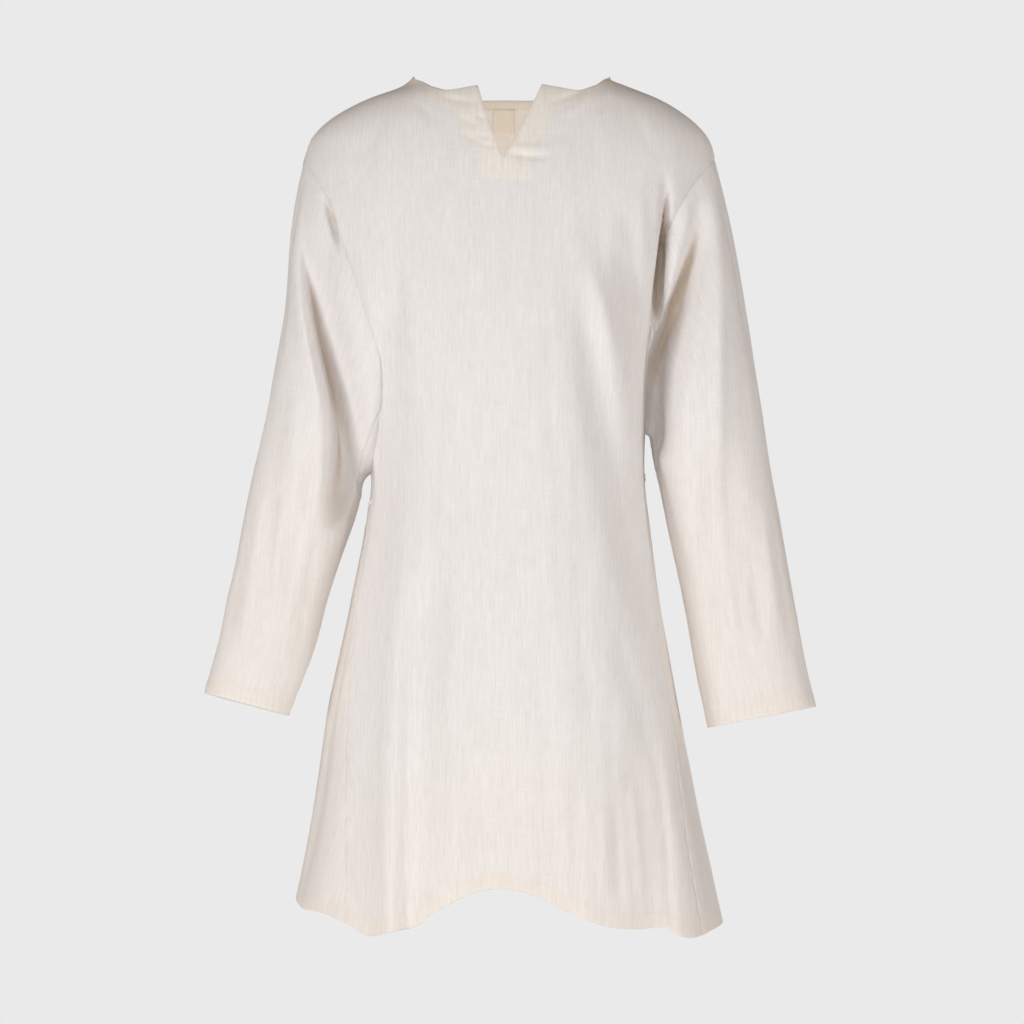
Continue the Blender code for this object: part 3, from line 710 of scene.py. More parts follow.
def yoke(face, side):
    """Rows of half a panel from the neck to the end of the shoulder, as turns and heights."""
    rows = []
    u = np.linspace(0, 1, HALF_COLUMNS + 1)
    foot = SLIT_FOOT[1] + (SHOULDER_END - SLIT_FOOT[1]) * u
    for share in np.linspace(0, 1, YOKE_ROWS + 1):
        inner_z = through([0, 1], [NECK_FRONT[0][1], SLIT_FOOT[1]], share)
        inner = turn_at(side, slit_edge(side, share), inner_z) if face == "front" else 0.0
        turn = inner + (90 - inner) * u
        fall = share ** (1 + NECK_FALL * u)
        rows.append((turn, neck_height(face, side, turn) * (1 - fall) + foot * fall))
    return rows


def half_panel(face, side, press=True):
    """Half of the front or back, as a grid of points from the neck edge to the hem."""
    rows = yoke(face, side)
    u = np.linspace(0, 1, HALF_COLUMNS + 1)
    foot_turn, foot_z = rows[-1]
    first_inner = foot_turn[0]

    def side_rows(outer_turns, outer_heights, inner_from, inner_to):
        count = len(outer_turns)
        for i, (outer, z) in enumerate(zip(outer_turns, outer_heights), start=1):
            inner_z = inner_from + (inner_to - inner_from) * i / count
            inner = first_inner * (1 - ease((SLIT_FOOT[1] - inner_z) / SLIT_CENTRING))
            rows.append((inner + (outer - inner) * u, inner_z + (z - inner_z) * u ** 2))

    heights = armhole_height(side, armhole_turns(side)[1:])
    side_rows(side_seam_turn(face, side, heights), heights, foot_z[0], CENTRE_CORNER)
    share = np.arange(1, GUSSET_ROWS + 1) / GUSSET_ROWS
    heights = GUSSET_CORNER[side] + (GORE_TOP[side] - GUSSET_CORNER[side]) * share
    side_rows(side_seam_turn(face, side, heights), heights, CENTRE_CORNER, CENTRE_GORE_TOP)

    top_turn, top_z = rows[-1]
    for share in np.linspace(0, 1, SKIRT_ROWS + 1)[1:]:
        turn = top_turn[0] + (gore_seam_turn(face, side, share) - top_turn[0]) * u
        hem = hem_height(facing_turn(face, side, turn))
        rows.append((turn, top_z + (hem - top_z) * share))
    return np.array([body(facing_turn(face, side, turn), z, press) for turn, z in rows])


def gore_seam_turn(face, side, share):
    return 90 + (GORE_HEM_TURN[face, side] - 90) * share ** GORE_SPREAD


def side_turns(side, across, front_seam, back_seam):
    """Turns across a side piece, from its front seam at -1 to its back seam at 1."""
    half = np.where(across < 0, 90 - front_seam, 90 - back_seam)
    return facing_turn("front", side, 90 + half * across)


def gore(side, press=True):
    """A side gore as a grid, from its top point down to the hem."""
    rows = []
    across = np.linspace(-1, 1, GORE_COLUMNS + 1)
    for share in np.linspace(0, 1, SKIRT_ROWS + 1):
        turn = side_turns(side, across, gore_seam_turn("front", side, share),
                          gore_seam_turn("back", side, share))
        z = GORE_TOP[side] + (hem_height(turn) - GORE_TOP[side]) * share
        rows.append(body(turn, z, press))
    return np.array(rows)


def gusset_below(side, press=True):
    """The gusset's lower half, from the fold under the arm down to the top of the gore."""
    rows = []
    fold_z = armhole_height(side, 180 - np.abs(FOLD_SHARES) * (180 - corner_turn(side)))
    for share in np.linspace(0, 1, GUSSET_ROWS + 1):
        edge_z = GUSSET_CORNER[side] + (GORE_TOP[side] - GUSSET_CORNER[side]) * share
        turn = side_turns(side, FOLD_SHARES, side_seam_turn("front", side, edge_z),
                          side_seam_turn("back", side, edge_z))
        rows.append(body(turn, fold_z + (GORE_TOP[side] - fold_z) * share, press))
    return np.array(rows)


def gusset_reach(side, row):
    """Half the gusset's turn on the sleeve at a row, none past its lower point."""
    return (180 - corner_turn(side)) * max(0.0, 1 - row / GUSSET_SLEEVE_ROWS)


def gusset_above(side, press=True):
    """The gusset's upper half, from the fold out along the sleeve's underside."""
    rows = []
    for row in range(GUSSET_SLEEVE_ROWS + 1):
        turn = 180 + gusset_reach(side, row) * FOLD_SHARES
        rows.append(sleeve(side, turn, SLEEVE_ALONGS[row], press))
    return np.array(rows)


def half_sleeve(side, face, press=True):
    """The front or back half of a sleeve, from its outer edge to the gusset and underarm seam."""
    rows = []
    u = np.linspace(0, 1, ARMHOLE_ROWS + 1) ** SLEEVE_TURN_EASE
    for row, along in enumerate(SLEEVE_ALONGS):
        turn = (180 - gusset_reach(side, row)) * u
        rows.append(sleeve(side, turn if face == "front" else 360 - turn, along, press))
    return np.array(rows)


def from_line(spots, start, step):
    """For each spot and each stretch of a line: share of the way along it, and distance."""
    to = spots[:, None, :] - start[None]
    part_way = np.clip((to * step).sum(-1) / (step ** 2).sum(-1), 0, 1)
    return part_way, np.linalg.norm(to - part_way[..., None] * step, axis=-1)


def crease_field(face, across, down):
    """Depth of one face's creases in metres at the points (across, down)."""
    total = np.zeros_like(across)
    for row in CREASES[face]:
        width, depth, *path = np.array(row) / 1000
        points = np.reshape(path, (-1, 2))
        share = np.linspace(0, 1, len(points))
        fine = np.linspace(0, 1, CREASE_SAMPLES)
        line = np.stack([through(share, column, fine) for column in points.T], 1)
        reach = CREASE_REACH * width
        near = ((across > line[:, 0].min() - reach) & (across < line[:, 0].max() + reach)
                & (down > line[:, 1].min() - reach) & (down < line[:, 1].max() + reach))
        spot = np.stack([across[near], down[near]], 1)
        part_way, away = from_line(spot, line[:-1], np.diff(line, axis=0))
        nearest = away.argmin(1)
        rows = np.arange(len(spot))
        along = (nearest + part_way[rows, nearest]) / (len(line) - 1)
        taper = np.sin(np.pi * np.clip(along, 0, 1)) ** CREASE_TAPER
        total[near] += depth * np.exp(-(away[rows, nearest] / width) ** 2) * taper
    return total


def ripple_field(across, down, seed):
    """Slow unevenness of the cloth, longer down than across."""
    random = np.random.default_rng(seed)
    total = np.zeros_like(across)
    for _ in range(RIPPLE_WAVES):
        length = np.exp(random.uniform(*np.log(RIPPLE_LENGTH)))
        turn = random.normal(0, RIPPLE_SPREAD)
        phase = random.uniform(0, 2 * np.pi)
        travel = across * np.cos(turn) + down * np.sin(turn) / RIPPLE_STRETCH
        total += length / RIPPLE_LENGTH[1] * np.sin(2 * np.pi * travel / length + phase)
    return total * RIPPLE_HEIGHT / math.sqrt(RIPPLE_WAVES)


def crease_depth(points, normals):
    """How far all creases press the cloth in, each face's share by how much it faces that way."""
    x, y, z = points.T
    fore, aside = normals[:, 1], normals[:, 0]
    total = np.zeros(len(points))
    sizes = {"front": (np.clip(-fore, 0, 1), x), "back": (np.clip(fore, 0, 1), x),
             "right": (np.clip(-aside, 0, 1), y), "left": (np.clip(aside, 0, 1), y)}
    for number, (face, (weight, across)) in enumerate(sizes.items()):
        field = crease_field(face, across, z) + ripple_field(across, z, RIPPLE_SEED + number)
        total += weight ** CREASE_FACING * field
    return total


def down_length(grid):
    """Length of each column from its first row down to each point."""
    length = np.linalg.norm(np.diff(grid, axis=0), axis=-1)
    return np.concatenate([np.zeros((1, grid.shape[1])), np.cumsum(length, axis=0)])


def panel_flat(grid, from_side=False):
    """Flat place of each point of a panel in metres: level around the body, and down it."""
    return np.stack([body_across(grid, from_side), down_length(grid) - grid[:1, :, 2]], axis=-1)


def sleeve_flat(side, grid):
    """Flat place of each point of a sleeve in metres: around its axis, and down along it."""
    middle = [(ring_base(side, 90, along) + ring_base(side, 270, along)) / 2 for along in (0, 1)]
    axis = (middle[1] - middle[0]) / np.linalg.norm(middle[1] - middle[0])
    step = np.diff(grid, axis=1)
    square = np.linalg.norm(step - (step @ axis)[..., None] * axis, axis=-1)
    around = np.concatenate([np.zeros((len(grid), 1)), np.cumsum(square, axis=1)], axis=1)
    return np.stack([around, grid @ axis], axis=-1)


def show(name, data):
    """A new object in the scene."""
    made = bpy.data.objects.new(name, data)
    bpy.context.scene.collection.objects.link(made)
    return made


class Patch:
    """One grid of the sewn cloth, with its flat coordinates and where its points are kept."""

    def __init__(self, piece, grid, outward, flat, edged=True):
        self.piece = piece
        self.grid = grid
        self.flat = flat
        rows, cols = grid.shape[:2]
        index = np.arange(rows * cols).reshape(rows, cols)
        quads = np.stack([index[:-1, :-1], index[1:, :-1], index[1:, 1:], index[:-1, 1:]], -1)
        points = grid.reshape(-1, 3)
        corner = points[quads.reshape(-1, 4)]
        facing = np.cross(corner[:, 2] - corner[:, 0], corner[:, 3] - corner[:, 1])
        if (facing @ np.array(outward)).sum() < 0:
            quads = quads[..., ::-1]
        self.quads = quads.reshape(-1, 4)
        cell = np.indices((rows - 1, cols - 1)).reshape(2, -1)
        self.cell_row, self.cell_column = cell
        self.border = np.unique(np.concatenate([index[0], index[-1], index[:, 0], index[:, -1]]))
        down = down_length(grid)
        self.from_end = down[-1:] - down + (0.0 if edged else NO_EDGE)


def sewn_patches():
    """All grids of the sewn cloth."""
    patches = []
    for side in ("right", "left"):
        sign = sign_of(side)
        for face, fore in (("front", -1), ("back", 1)):
            patches.append(Patch("tunic_" + face, half_panel(face, side), (0, fore, 0),
                                 panel_flat(half_panel(face, side, press=False))))
            flat = sleeve_flat(side, half_sleeve(side, face, press=False))
            patches.append(Patch("sleeve_" + side, half_sleeve(side, face), (0, fore, 0),
                                 flat * (fore, 1)))
        patches.append(Patch("gusset_" + side, gusset_above(side), (-sign, 0, -1),
                             sleeve_flat(side, gusset_above(side, press=False)), edged=False))
        flat = panel_flat(gusset_below(side, press=False), from_side=True)
        patches.append(Patch("gusset_" + side, gusset_below(side), (sign, 0, 0), flat,
                             edged=False))
        patches.append(Patch("gore_" + side, gore(side), (sign, 0, 0),
                             panel_flat(gore(side, press=False), from_side=True)))
    return patches


class Sewn:
    """The whole cloth: points, faces, and which points of neighbouring grids are one point."""

    def __init__(self, patches):
        self.patches = patches
        start = 0
        for patch in patches:
            patch.start = start
            start += len(patch.grid.reshape(-1, 3))
        self.points = np.concatenate([patch.grid.reshape(-1, 3) for patch in patches])
        self.same = np.arange(start)
        border = np.concatenate([patch.border + patch.start for patch in patches])
        tree = KDTree(len(border))
        for i, number in enumerate(border):
            tree.insert(self.points[number], i)
        tree.balance()
        for number in border:
            found = [border[i] for _, i, _ in tree.find_range(self.points[number], WELD)]
            self.same[number] = min(found)
        self.faces = np.concatenate([patch.quads + patch.start for patch in patches])
        self.open_edges = set(map(tuple, free_edges(self.same[self.faces]).tolist()))
        self.crease()

    def normals(self):
        """Normals of the points, the same for points that are one."""
        corner = self.points[self.faces]
        facing = np.cross(corner[:, 2] - corner[:, 0], corner[:, 3] - corner[:, 1])
        total = np.zeros_like(self.points)
        for k in range(4):
            np.add.at(total, self.same[self.faces[:, k]], facing)
        total = total[self.same]
        return total / np.maximum(np.linalg.norm(total, axis=1, keepdims=True), TINY)

    def seam_points(self):
        """Points that two pieces share."""
        pieces = {}
        for patch in self.patches:
            for number in self.same[patch.border + patch.start]:
                pieces.setdefault(number, set()).add(patch.piece)
        return np.array([number for number, names in pieces.items() if len(names) > 1])

    def puckers(self):
        """How far the cloth sinks beside its seams, in short uneven waves."""
        total = np.zeros(len(self.points))
        seams = self.seam_points()
        if not len(seams):
            return total
        tree = KDTree(len(seams))
        for number in seams:
            tree.insert(self.points[number], number)
        tree.balance()
        away = np.array([tree.find(point)[2] for point in self.points])
        beside = np.exp(-(away / PUCKER_REACH) ** 2)
        random = np.random.default_rng(PUCKER_SEED)
        for _ in range(PUCKER_WAVES):
            heading = random.normal(size=3)
            rate = 2 * np.pi / random.uniform(*PUCKER_LENGTH) / np.linalg.norm(heading)
            total += np.sin(self.points @ heading * rate + random.uniform(0, 2 * np.pi))
        waves = total / math.sqrt(PUCKER_WAVES / 2)
        trough = np.exp(-(away / TROUGH_REACH) ** 2)
        return beside * waves * PUCKER_HEIGHT + trough * SEAM_TROUGH

    def crease(self):
        """Lay the smaller creases and the puckers on the cloth."""
        normals = self.normals()
        self.points = self.points[self.same]
        depth = crease_depth(self.points, normals) + self.puckers()
        self.points = self.points - depth[:, None] * normals
        self.points = self.points[self.same]
        self.normal = self.normals()

    def hollows(self):
        """How far each point lies below the cloth around it."""
        count = len(self.points)
        quads = self.same[self.faces]
        a, b = quads.reshape(-1), np.roll(quads, 1, axis=1).reshape(-1)
        a, b = np.concatenate([a, b]), np.concatenate([b, a])
        near = np.maximum(np.bincount(a, minlength=count), 1)
        around = self.points.T
        for _ in range(HOLLOW_ROUNDS):
            around = [np.bincount(a, axis[b], count) / near for axis in around]
        return ((np.stack(around, 1) - self.points) * self.normal).sum(1)[self.same]


def free_edges(faces):
    """Edges of a shell that belong to one face only, in the direction of that face."""
    edges = np.concatenate([faces[:, [k, (k + 1) % 4]] for k in range(4)])
    edges = edges[edges[:, 0] != edges[:, 1]]
    known = set(map(tuple, edges.tolist()))
    return np.array([edge for edge in edges.tolist() if (edge[1], edge[0]) not in known])


class Shell:
    """A thin closed shell on some faces of the sewn cloth."""

    def __init__(self, sewn, name, choose, thick, inward=0.0, seamed=False):
        faces, flats, ends = [], [], {}
        for patch in sewn.patches:
            kept = choose(patch)
            if not kept.any():
                continue
            faces.append(patch.quads[kept] + patch.start)
            flats.append(patch.flat.reshape(-1, 2)[patch.quads[kept]])
            values = patch.from_end.reshape(-1)
            for number, value in zip(sewn.same[patch.start:patch.start + len(values)], values):
                ends[number] = min(value, ends.get(number, NO_EDGE))
        faces = sewn.same[np.concatenate(faces)]
        self.flat = np.concatenate(flats)
        used, local = np.unique(faces, return_inverse=True)
        self.name = name
        self.faces = local.reshape(-1, 4)
        self.used = used
        self.points = sewn.points[used]
        self.normal = sewn.normal[used]
        self.from_end = np.array([ends[number] for number in used])
        self.thick = thick
        self.inward = inward
        self.edges = free_edges(self.faces)
        self.on_seam = np.array([seamed and (used[a], used[b]) not in sewn.open_edges
                                 for a, b in self.edges])

    def pull(self, edges):
        """Direction into the shell at each point of some of its edges."""
        total = np.zeros_like(self.points)
        a, b = edges.T
        along = self.points[b] - self.points[a]
        into = np.cross(self.normal[a] + self.normal[b], along)
        into /= np.maximum(np.linalg.norm(into, axis=1, keepdims=True), TINY)
        np.add.at(total, a, into)
        np.add.at(total, b, into)
        size = (total ** 2).sum(1, keepdims=True)
        return np.where(size > 0, total / np.maximum(size / 2, 0.5), 0)

    def build(self, material, turn_up=0.0, attributes=()):
        """The mesh object: outer face, inner face, and a rounded edge between them, or an edge
        that sinks to its neighbour's along a seam."""
        count = len(self.points)
        band = np.zeros(count)
        if turn_up:
            band = 1 - ease((self.from_end - turn_up) / TURN_UP_EASE + 0.5)
        seam = self.edges[self.on_seam]
        pull = self.pull(self.edges[~self.on_seam]) * EDGE_ROUND + self.pull(seam) * SEAM_GAP
        sunk = np.zeros(count)
        sunk[seam] = SEAM_SINK
        normal = self.normal
        middle = self.points - normal * self.inward
        outer = middle + normal * (self.thick / 2 + TURN_UP_SWELL * band - sunk)[:, None] + pull
        inner = middle - normal * (self.thick / 2 + TURN_UP_THICK * band)[:, None] + pull
        ring = np.unique(self.edges)
        place = np.zeros(count, int)
        place[ring] = np.arange(len(ring)) + 2 * count
        points = np.concatenate([outer, inner, middle[ring]])
        a, b = self.edges.T
        faces = np.concatenate([
            self.faces, self.faces[:, ::-1] + count,
            np.stack([b, a, place[a], place[b]], 1),
            np.stack([place[b], place[a], a + count, b + count], 1)])
        flat_at = np.zeros((count, 2))
        flat_at[self.faces.reshape(-1)] = self.flat.reshape(-1, 2)
        rim = flat_at[np.stack([b, a, a, b], 1)]
        flat = np.concatenate([self.flat, self.flat[:, ::-1], rim, rim])
        kept = faces != np.roll(faces, 1, axis=1)
        whole = kept.sum(1) >= 3
        faces, flat, kept = faces[whole], flat[whole], kept[whole]
        corners = [face[use].tolist() for face, use in zip(faces, kept)]
        mesh = bpy.data.meshes.new(self.name)
        mesh.from_pydata(points.tolist(), [], corners)
        uv = mesh.uv_layers.new(name="cloth")
        uv.data.foreach_set("uv", flat[kept].reshape(-1))
        for name, values in dict(attributes, from_end=self.from_end).items():
            layer = mesh.attributes.new(name, "FLOAT", "POINT")
            layer.data.foreach_set("value", np.concatenate([values, values, values[ring]]))
        mesh.materials.append(material)
        mesh.validate()
        mesh.shade_smooth()
        mesh.set_sharp_from_angle(angle=SHARP_ANGLE)
        return show(self.name + "_cloth", mesh)


def outline_distance(x, z, outline):
    """Distance of each point inside a closed outline, less than 0 outside it."""
    start, step = outline, np.roll(outline, -1, axis=0) - outline
    away = from_line(np.stack([x, z], 1), start, step)[1].min(1)
    end = start + step
    crosses = (start[:, 1] > z[:, None]) != (end[:, 1] > z[:, None])
    share = (z[:, None] - start[:, 1]) / np.where(step[:, 1] == 0, 1, step[:, 1])
    left_of = x[:, None] < start[:, 0] + share * step[:, 0]
    inside = (crosses & left_of).sum(1) % 2 == 1
    return np.where(inside, away, -away)


def label_patch():
    """The label's grid on the back, from its top edge down."""
    rows = []
    x = np.linspace(*LABEL_ACROSS, LABEL_GRID[1] + 1)
    for share in np.linspace(*LABEL_ROWS, LABEL_GRID[0] + 1):
        turn = np.degrees(np.arcsin(np.abs(x) / body_size("left", 0.0)))
        for _ in range(LABEL_ROUNDS):
            fall = share ** (1 + NECK_FALL * turn / 90)
            foot = SLIT_FOOT[1] + (SHOULDER_END - SLIT_FOOT[1]) * turn / 90
            z = np.where(x > 0, neck_height("back", "left", turn),
                         neck_height("back", "right", turn)) * (1 - fall) + foot * fall
            turn = np.where(x > 0, turn_at("left", x, z), turn_at("right", -x, z))
        rows.append(body(180 - np.where(x > 0, turn, -turn), z))
    rows = np.array(rows)
    return Patch("neck_label", rows, (0, 1, 0), panel_flat(rows), edged=False)


def connect(tree, value, socket):
    """Link a socket or a Value to a node's input, or set the input to a plain value."""
    value = getattr(value, "socket", value)
    if isinstance(value, bpy.types.NodeSocket):
        tree.links.new(value, socket)
    else:
        socket.default_value = value


def add_node(tree, kind, settings=None, sockets=()):
    """One node: its settings are set first, and then the values or links of its sockets."""
    node = tree.nodes.new(kind)
    for name, value in (settings or {}).items():
        setattr(node, name, value)
    pairs = sockets.items() if isinstance(sockets, dict) else enumerate(sockets)
    for place, value in pairs:
        connect(tree, value, node.inputs[place])
    return node


class Value:
    """A number in a material: sums and products of such numbers add the nodes for them."""

    def __init__(self, finish, socket):
        self.finish = finish
        self.socket = socket

    def join(self, operation, first, second):
        return self.finish.add("ShaderNodeMath", {"operation": operation}, [first, second])

    def __add__(self, other):
        return self.join("ADD", self, other)

    def __sub__(self, other):
        return self.join("SUBTRACT", self, other)

    def __rsub__(self, other):
        return self.join("SUBTRACT", other, self)

    def __mul__(self, other):
        return self.join("MULTIPLY", self, other)

    def sine(self):
        return self.join("SINE", self, 0.0)

    def between(self, low, high):
        """0 below low, 1 above high, with soft ends."""
        return self.finish.add("ShaderNodeMapRange", {"interpolation_type": "SMOOTHSTEP"},
                               {"Value": self, "From Min": low, "From Max": high})


class Finish:
    """A material and the nodes in it."""

    def __init__(self, name, sheen):
        self.material = bpy.data.materials.new(name)
        self.material.use_nodes = True
        self.tree = self.material.node_tree
        self.shader = self.tree.nodes["Principled BSDF"]
        for place, value in (("Specular IOR Level", SPECULAR), ("Sheen Weight", sheen),
                             ("Sheen Roughness", SHEEN_ROUGHNESS)):
            self.shader.inputs[place].default_value = value

    def add(self, kind, settings=None, sockets=(), output=0):
        """One node, and one of its outputs as a Value."""
        return Value(self, add_node(self.tree, kind, settings, sockets).outputs[output])

    def cloth_place(self):
        """The flat place on the cloth: metres across and metres down."""
        place = self.add("ShaderNodeUVMap", {"uv_map": "cloth"})
        return [self.add("ShaderNodeSeparateXYZ", {}, [place], output) for output in (0, 1)]

    def attribute(self, name):
        return self.add("ShaderNodeAttribute", {"attribute_name": name}, output=2)

    def noise(self, across, down, grain):
        """Grain on the cloth, 0 to 1 about 0.5."""
        across_rate, down_rate, detail, seed = grain
        spot = self.add("ShaderNodeCombineXYZ", {}, [across * across_rate, down * down_rate, seed])
        return self.add("ShaderNodeTexNoise", {"noise_dimensions": "3D"},
                        {"Vector": spot, "Scale": 1.0, "Detail": detail, "Roughness": 0.55})

    def mix(self, share, first, second, blend="MIX"):
        """A colour between two, or one multiplied by the other."""
        return self.add("ShaderNodeMix", {"data_type": "RGBA", "blend_type": blend},
                        {0: share, 6: first, 7: second}, output=2)

    def grey(self, value):
        return self.add("ShaderNodeCombineXYZ", {}, [value, value, value])

    def feed(self, colour, roughness, height, distance, strength):
        bump = self.add("ShaderNodeBump", {}, {"Strength": strength, "Distance": distance,
                                               "Height": height})
        for place, value in (("Base Color", colour), ("Roughness", roughness), ("Normal", bump)):
            connect(self.tree, value, self.shader.inputs[place])
        return self.material


def linen(name, colour, cream=(-1.0, 0.0), show_through=False):
    """Plain woven linen: slubs along both threads, the weave itself, creamier turn-ups and painted
    shade, darker and warmer, in its hollows. Near its free edge it is cream, a painted glow of warm
    light through the linen, up to the first distance, and pale from the second."""
    finish = Finish(name, LINEN_SHEEN)
    across, down = finish.cloth_place()
    warp, long_warp, weft, patches = [finish.noise(across, down, grain)
                                      for grain in (WARP, LONG_WARP, WEFT, PATCHES)]
    slub = ((warp - 0.5) * WARP_TONE + (long_warp - 0.5) * LONG_WARP_TONE
            + (weft - 0.5) * WEFT_TONE)
    tone = slub + (patches - 0.5) * PATCH_TONE + 1.0
    from_end = finish.attribute("from_end")
    # painted glow: cream near the free edges stands in for warm light shining through the linen
    base = finish.mix(from_end.between(*cream), (*PAINTED_GLOW_COLOUR, 1.0), (*colour, 1.0))
    turn_up = 1 - from_end.between(HEM_TURN_UP - TURNED_EDGE, HEM_TURN_UP)
    base = finish.mix(turn_up, base, (*TURNED_COLOUR, 1.0))
    if show_through:
        faced = finish.attribute("facing").between(-FACING_EDGE, FACING_EDGE)
        base = finish.mix(faced, base, (*FACED_COLOUR, 1.0))
    # painted shade: the cloth is multiplied darker and warmer where it lies deep in a fold
    hollow = finish.attribute("hollow").between(*HOLLOW_DEPTH)
    hollow = hollow * hollow * from_end.between(*HOLLOW_FROM_END)
    base = finish.mix(hollow, base, (*HOLLOW_PAINTED_SHADE, 1.0), "MULTIPLY")
    base = finish.mix(1.0, base, finish.grey(tone), "MULTIPLY")
    rate = 2 * math.pi / THREAD_PITCH
    wander = (long_warp + weft - 1.0) * (THREAD_WANDER * THREAD_PITCH)
    threads = ((across + wander) * rate).sine() * ((down + wander) * rate).sine() * 0.5 + 0.5
    height = threads * 0.5 + (warp + weft) * 0.5
    return finish.feed(base, LINEN_ROUGH - slub * LINEN_ROUGH_DROP, height, WEAVE_HEIGHT,
                       WEAVE_BUMP)


def tape(name):
    """The label's blank tape, finely ribbed."""
    finish = Finish(name, FINE_SHEEN)
    across, down = finish.cloth_place()
    rib = (down * (2 * math.pi / TAPE_RIB)).sine() * 0.5 + 0.5
    grain = finish.noise(across, down, TAPE_GRAIN)
    tone = grain * TAPE_TONE + rib * RIB_TONE + 0.9
    base = finish.mix(1.0, (*TAPE_COLOUR, 1.0), finish.grey(tone), "MULTIPLY")
    return finish.feed(base, TAPE_ROUGH - grain * TAPE_ROUGH_DROP, rib + grain, FINE_HEIGHT,
                       TAPE_BUMP)


def thread(name):
    """Twisted linen thread."""
    finish = Finish(name, FINE_SHEEN)
    place = finish.add("ShaderNodeTexCoord", output=3)
    grain = finish.add("ShaderNodeTexNoise", {}, {"Vector": place, "Scale": THREAD_GRAIN})
    tone = grain * THREAD_TONE + (1 - THREAD_TONE / 2)
    base = finish.mix(1.0, (*THREAD_COLOUR, 1.0), finish.grey(tone), "MULTIPLY")
    return finish.feed(base, THREAD_ROUGH - grain * THREAD_ROUGH_DROP, grain, FINE_HEIGHT,
                       THREAD_BUMP)


def stitch_tree(material):
    """A tree that lays stitches along the edges of a path mesh."""
    tree = bpy.data.node_groups.new("stitches", "GeometryNodeTree")
    for label, way, kind in (("Path", "INPUT", "Geometry"), ("Step", "INPUT", "Float"),
                             ("Length", "INPUT", "Float"), ("Radius", "INPUT", "Float"),
                             ("Stitches", "OUTPUT", "Geometry")):
        tree.interface.new_socket(label, in_out=way, socket_type="NodeSocket" + kind)

    def add(kind, settings=None, sockets=()):
        return add_node(tree, kind, settings, sockets).outputs[0]

    given = add_node(tree, "NodeGroupInput").outputs
    curve = add("GeometryNodeMeshToCurve", {}, {"Mesh": given["Path"]})
    even = add("GeometryNodeResampleCurve", {"mode": "LENGTH"},
               {"Curve": curve, "Length": given["Step"]})
    turn = add("FunctionNodeAlignRotationToVector", {"axis": "X"},
               {"Vector": add("GeometryNodeInputTangent")})
    bead = add("GeometryNodeMeshUVSphere", {}, BEAD)
    half = add("ShaderNodeMath", {"operation": "MULTIPLY"}, [given["Length"], 0.5])
    scale = add("ShaderNodeCombineXYZ", {}, [given["Radius"], given["Radius"], half])
    lay = add("FunctionNodeEulerToRotation", {}, [(0.0, math.pi / 2, 0.0)])
    stitch = add("GeometryNodeTransform", {}, {"Geometry": bead, "Scale": scale})
    laid = add("GeometryNodeTransform", {}, {"Geometry": stitch, "Rotation": lay})
    placed = add("GeometryNodeInstanceOnPoints", {},
                 {"Points": even, "Instance": laid, "Rotation": turn})
    real = add("GeometryNodeRealizeInstances", {}, [placed])
    painted = add("GeometryNodeSetMaterial", {}, {"Geometry": real, "Material": material})
    add_node(tree, "NodeGroupOutput", {}, [painted])
    return tree


def stitches(name, paths, tree, step=STITCH_STEP, length=STITCH_LENGTH):
    """Stitches along some paths, as one plain mesh."""
    points, edges = [], []
    for path in paths:
        first = len(points)
        points.extend(path.tolist())
        edges.extend((i, i + 1) for i in range(first, len(points) - 1))
    mesh = bpy.data.meshes.new(name)
    mesh.from_pydata(points, edges, [])
    made = show(name, mesh)
    modifier = made.modifiers.new("stitches", "NODES")
    modifier.node_group = tree
    sizes = {"Step": step, "Length": length, "Radius": THREAD_RADIUS}
    for item in tree.interface.items_tree:
        if item.name in sizes:
            modifier[item.identifier] = sizes[item.name]
    bpy.context.view_layer.update()
    evaluated = made.evaluated_get(bpy.context.evaluated_depsgraph_get())
    done = bpy.data.meshes.new_from_object(evaluated)
    made.modifiers.remove(modifier)
    made.data = done
    done.shade_smooth()
    return made


def path_at(sewn, patch, distance, lift):
    """A path across a patch, at a distance from its last row, lifted off the cloth's middle."""
    rows, cols = patch.grid.shape[:2]
    index = sewn.same[patch.start:patch.start + rows * cols].reshape(rows, cols)
    path = []
    for column in range(cols):
        far = patch.from_end[:, column]
        row = np.searchsorted(-far, -distance)
        if row == 0 or row >= rows:
            continue
        share = (far[row - 1] - distance) / (far[row - 1] - far[row])
        a, b = index[row - 1, column], index[row, column]
        point = sewn.points[a] * (1 - share) + sewn.points[b] * share
        normal = sewn.normal[a] * (1 - share) + sewn.normal[b] * share
        path.append(point + normal * lift)
    return np.array(path)


def path_inside(sewn, patch, lift):
    """Four paths just inside a small patch's edges, lifted off the cloth's middle."""
    raised = (sewn.points + sewn.normal * lift).reshape(patch.grid.shape)
    paths = []
    for grid in (raised, raised.swapaxes(0, 1)):
        paths.extend(grid[[0, -1]] * (1 - LABEL_STITCH_IN) + grid[[1, -2]] * LABEL_STITCH_IN)
    return paths


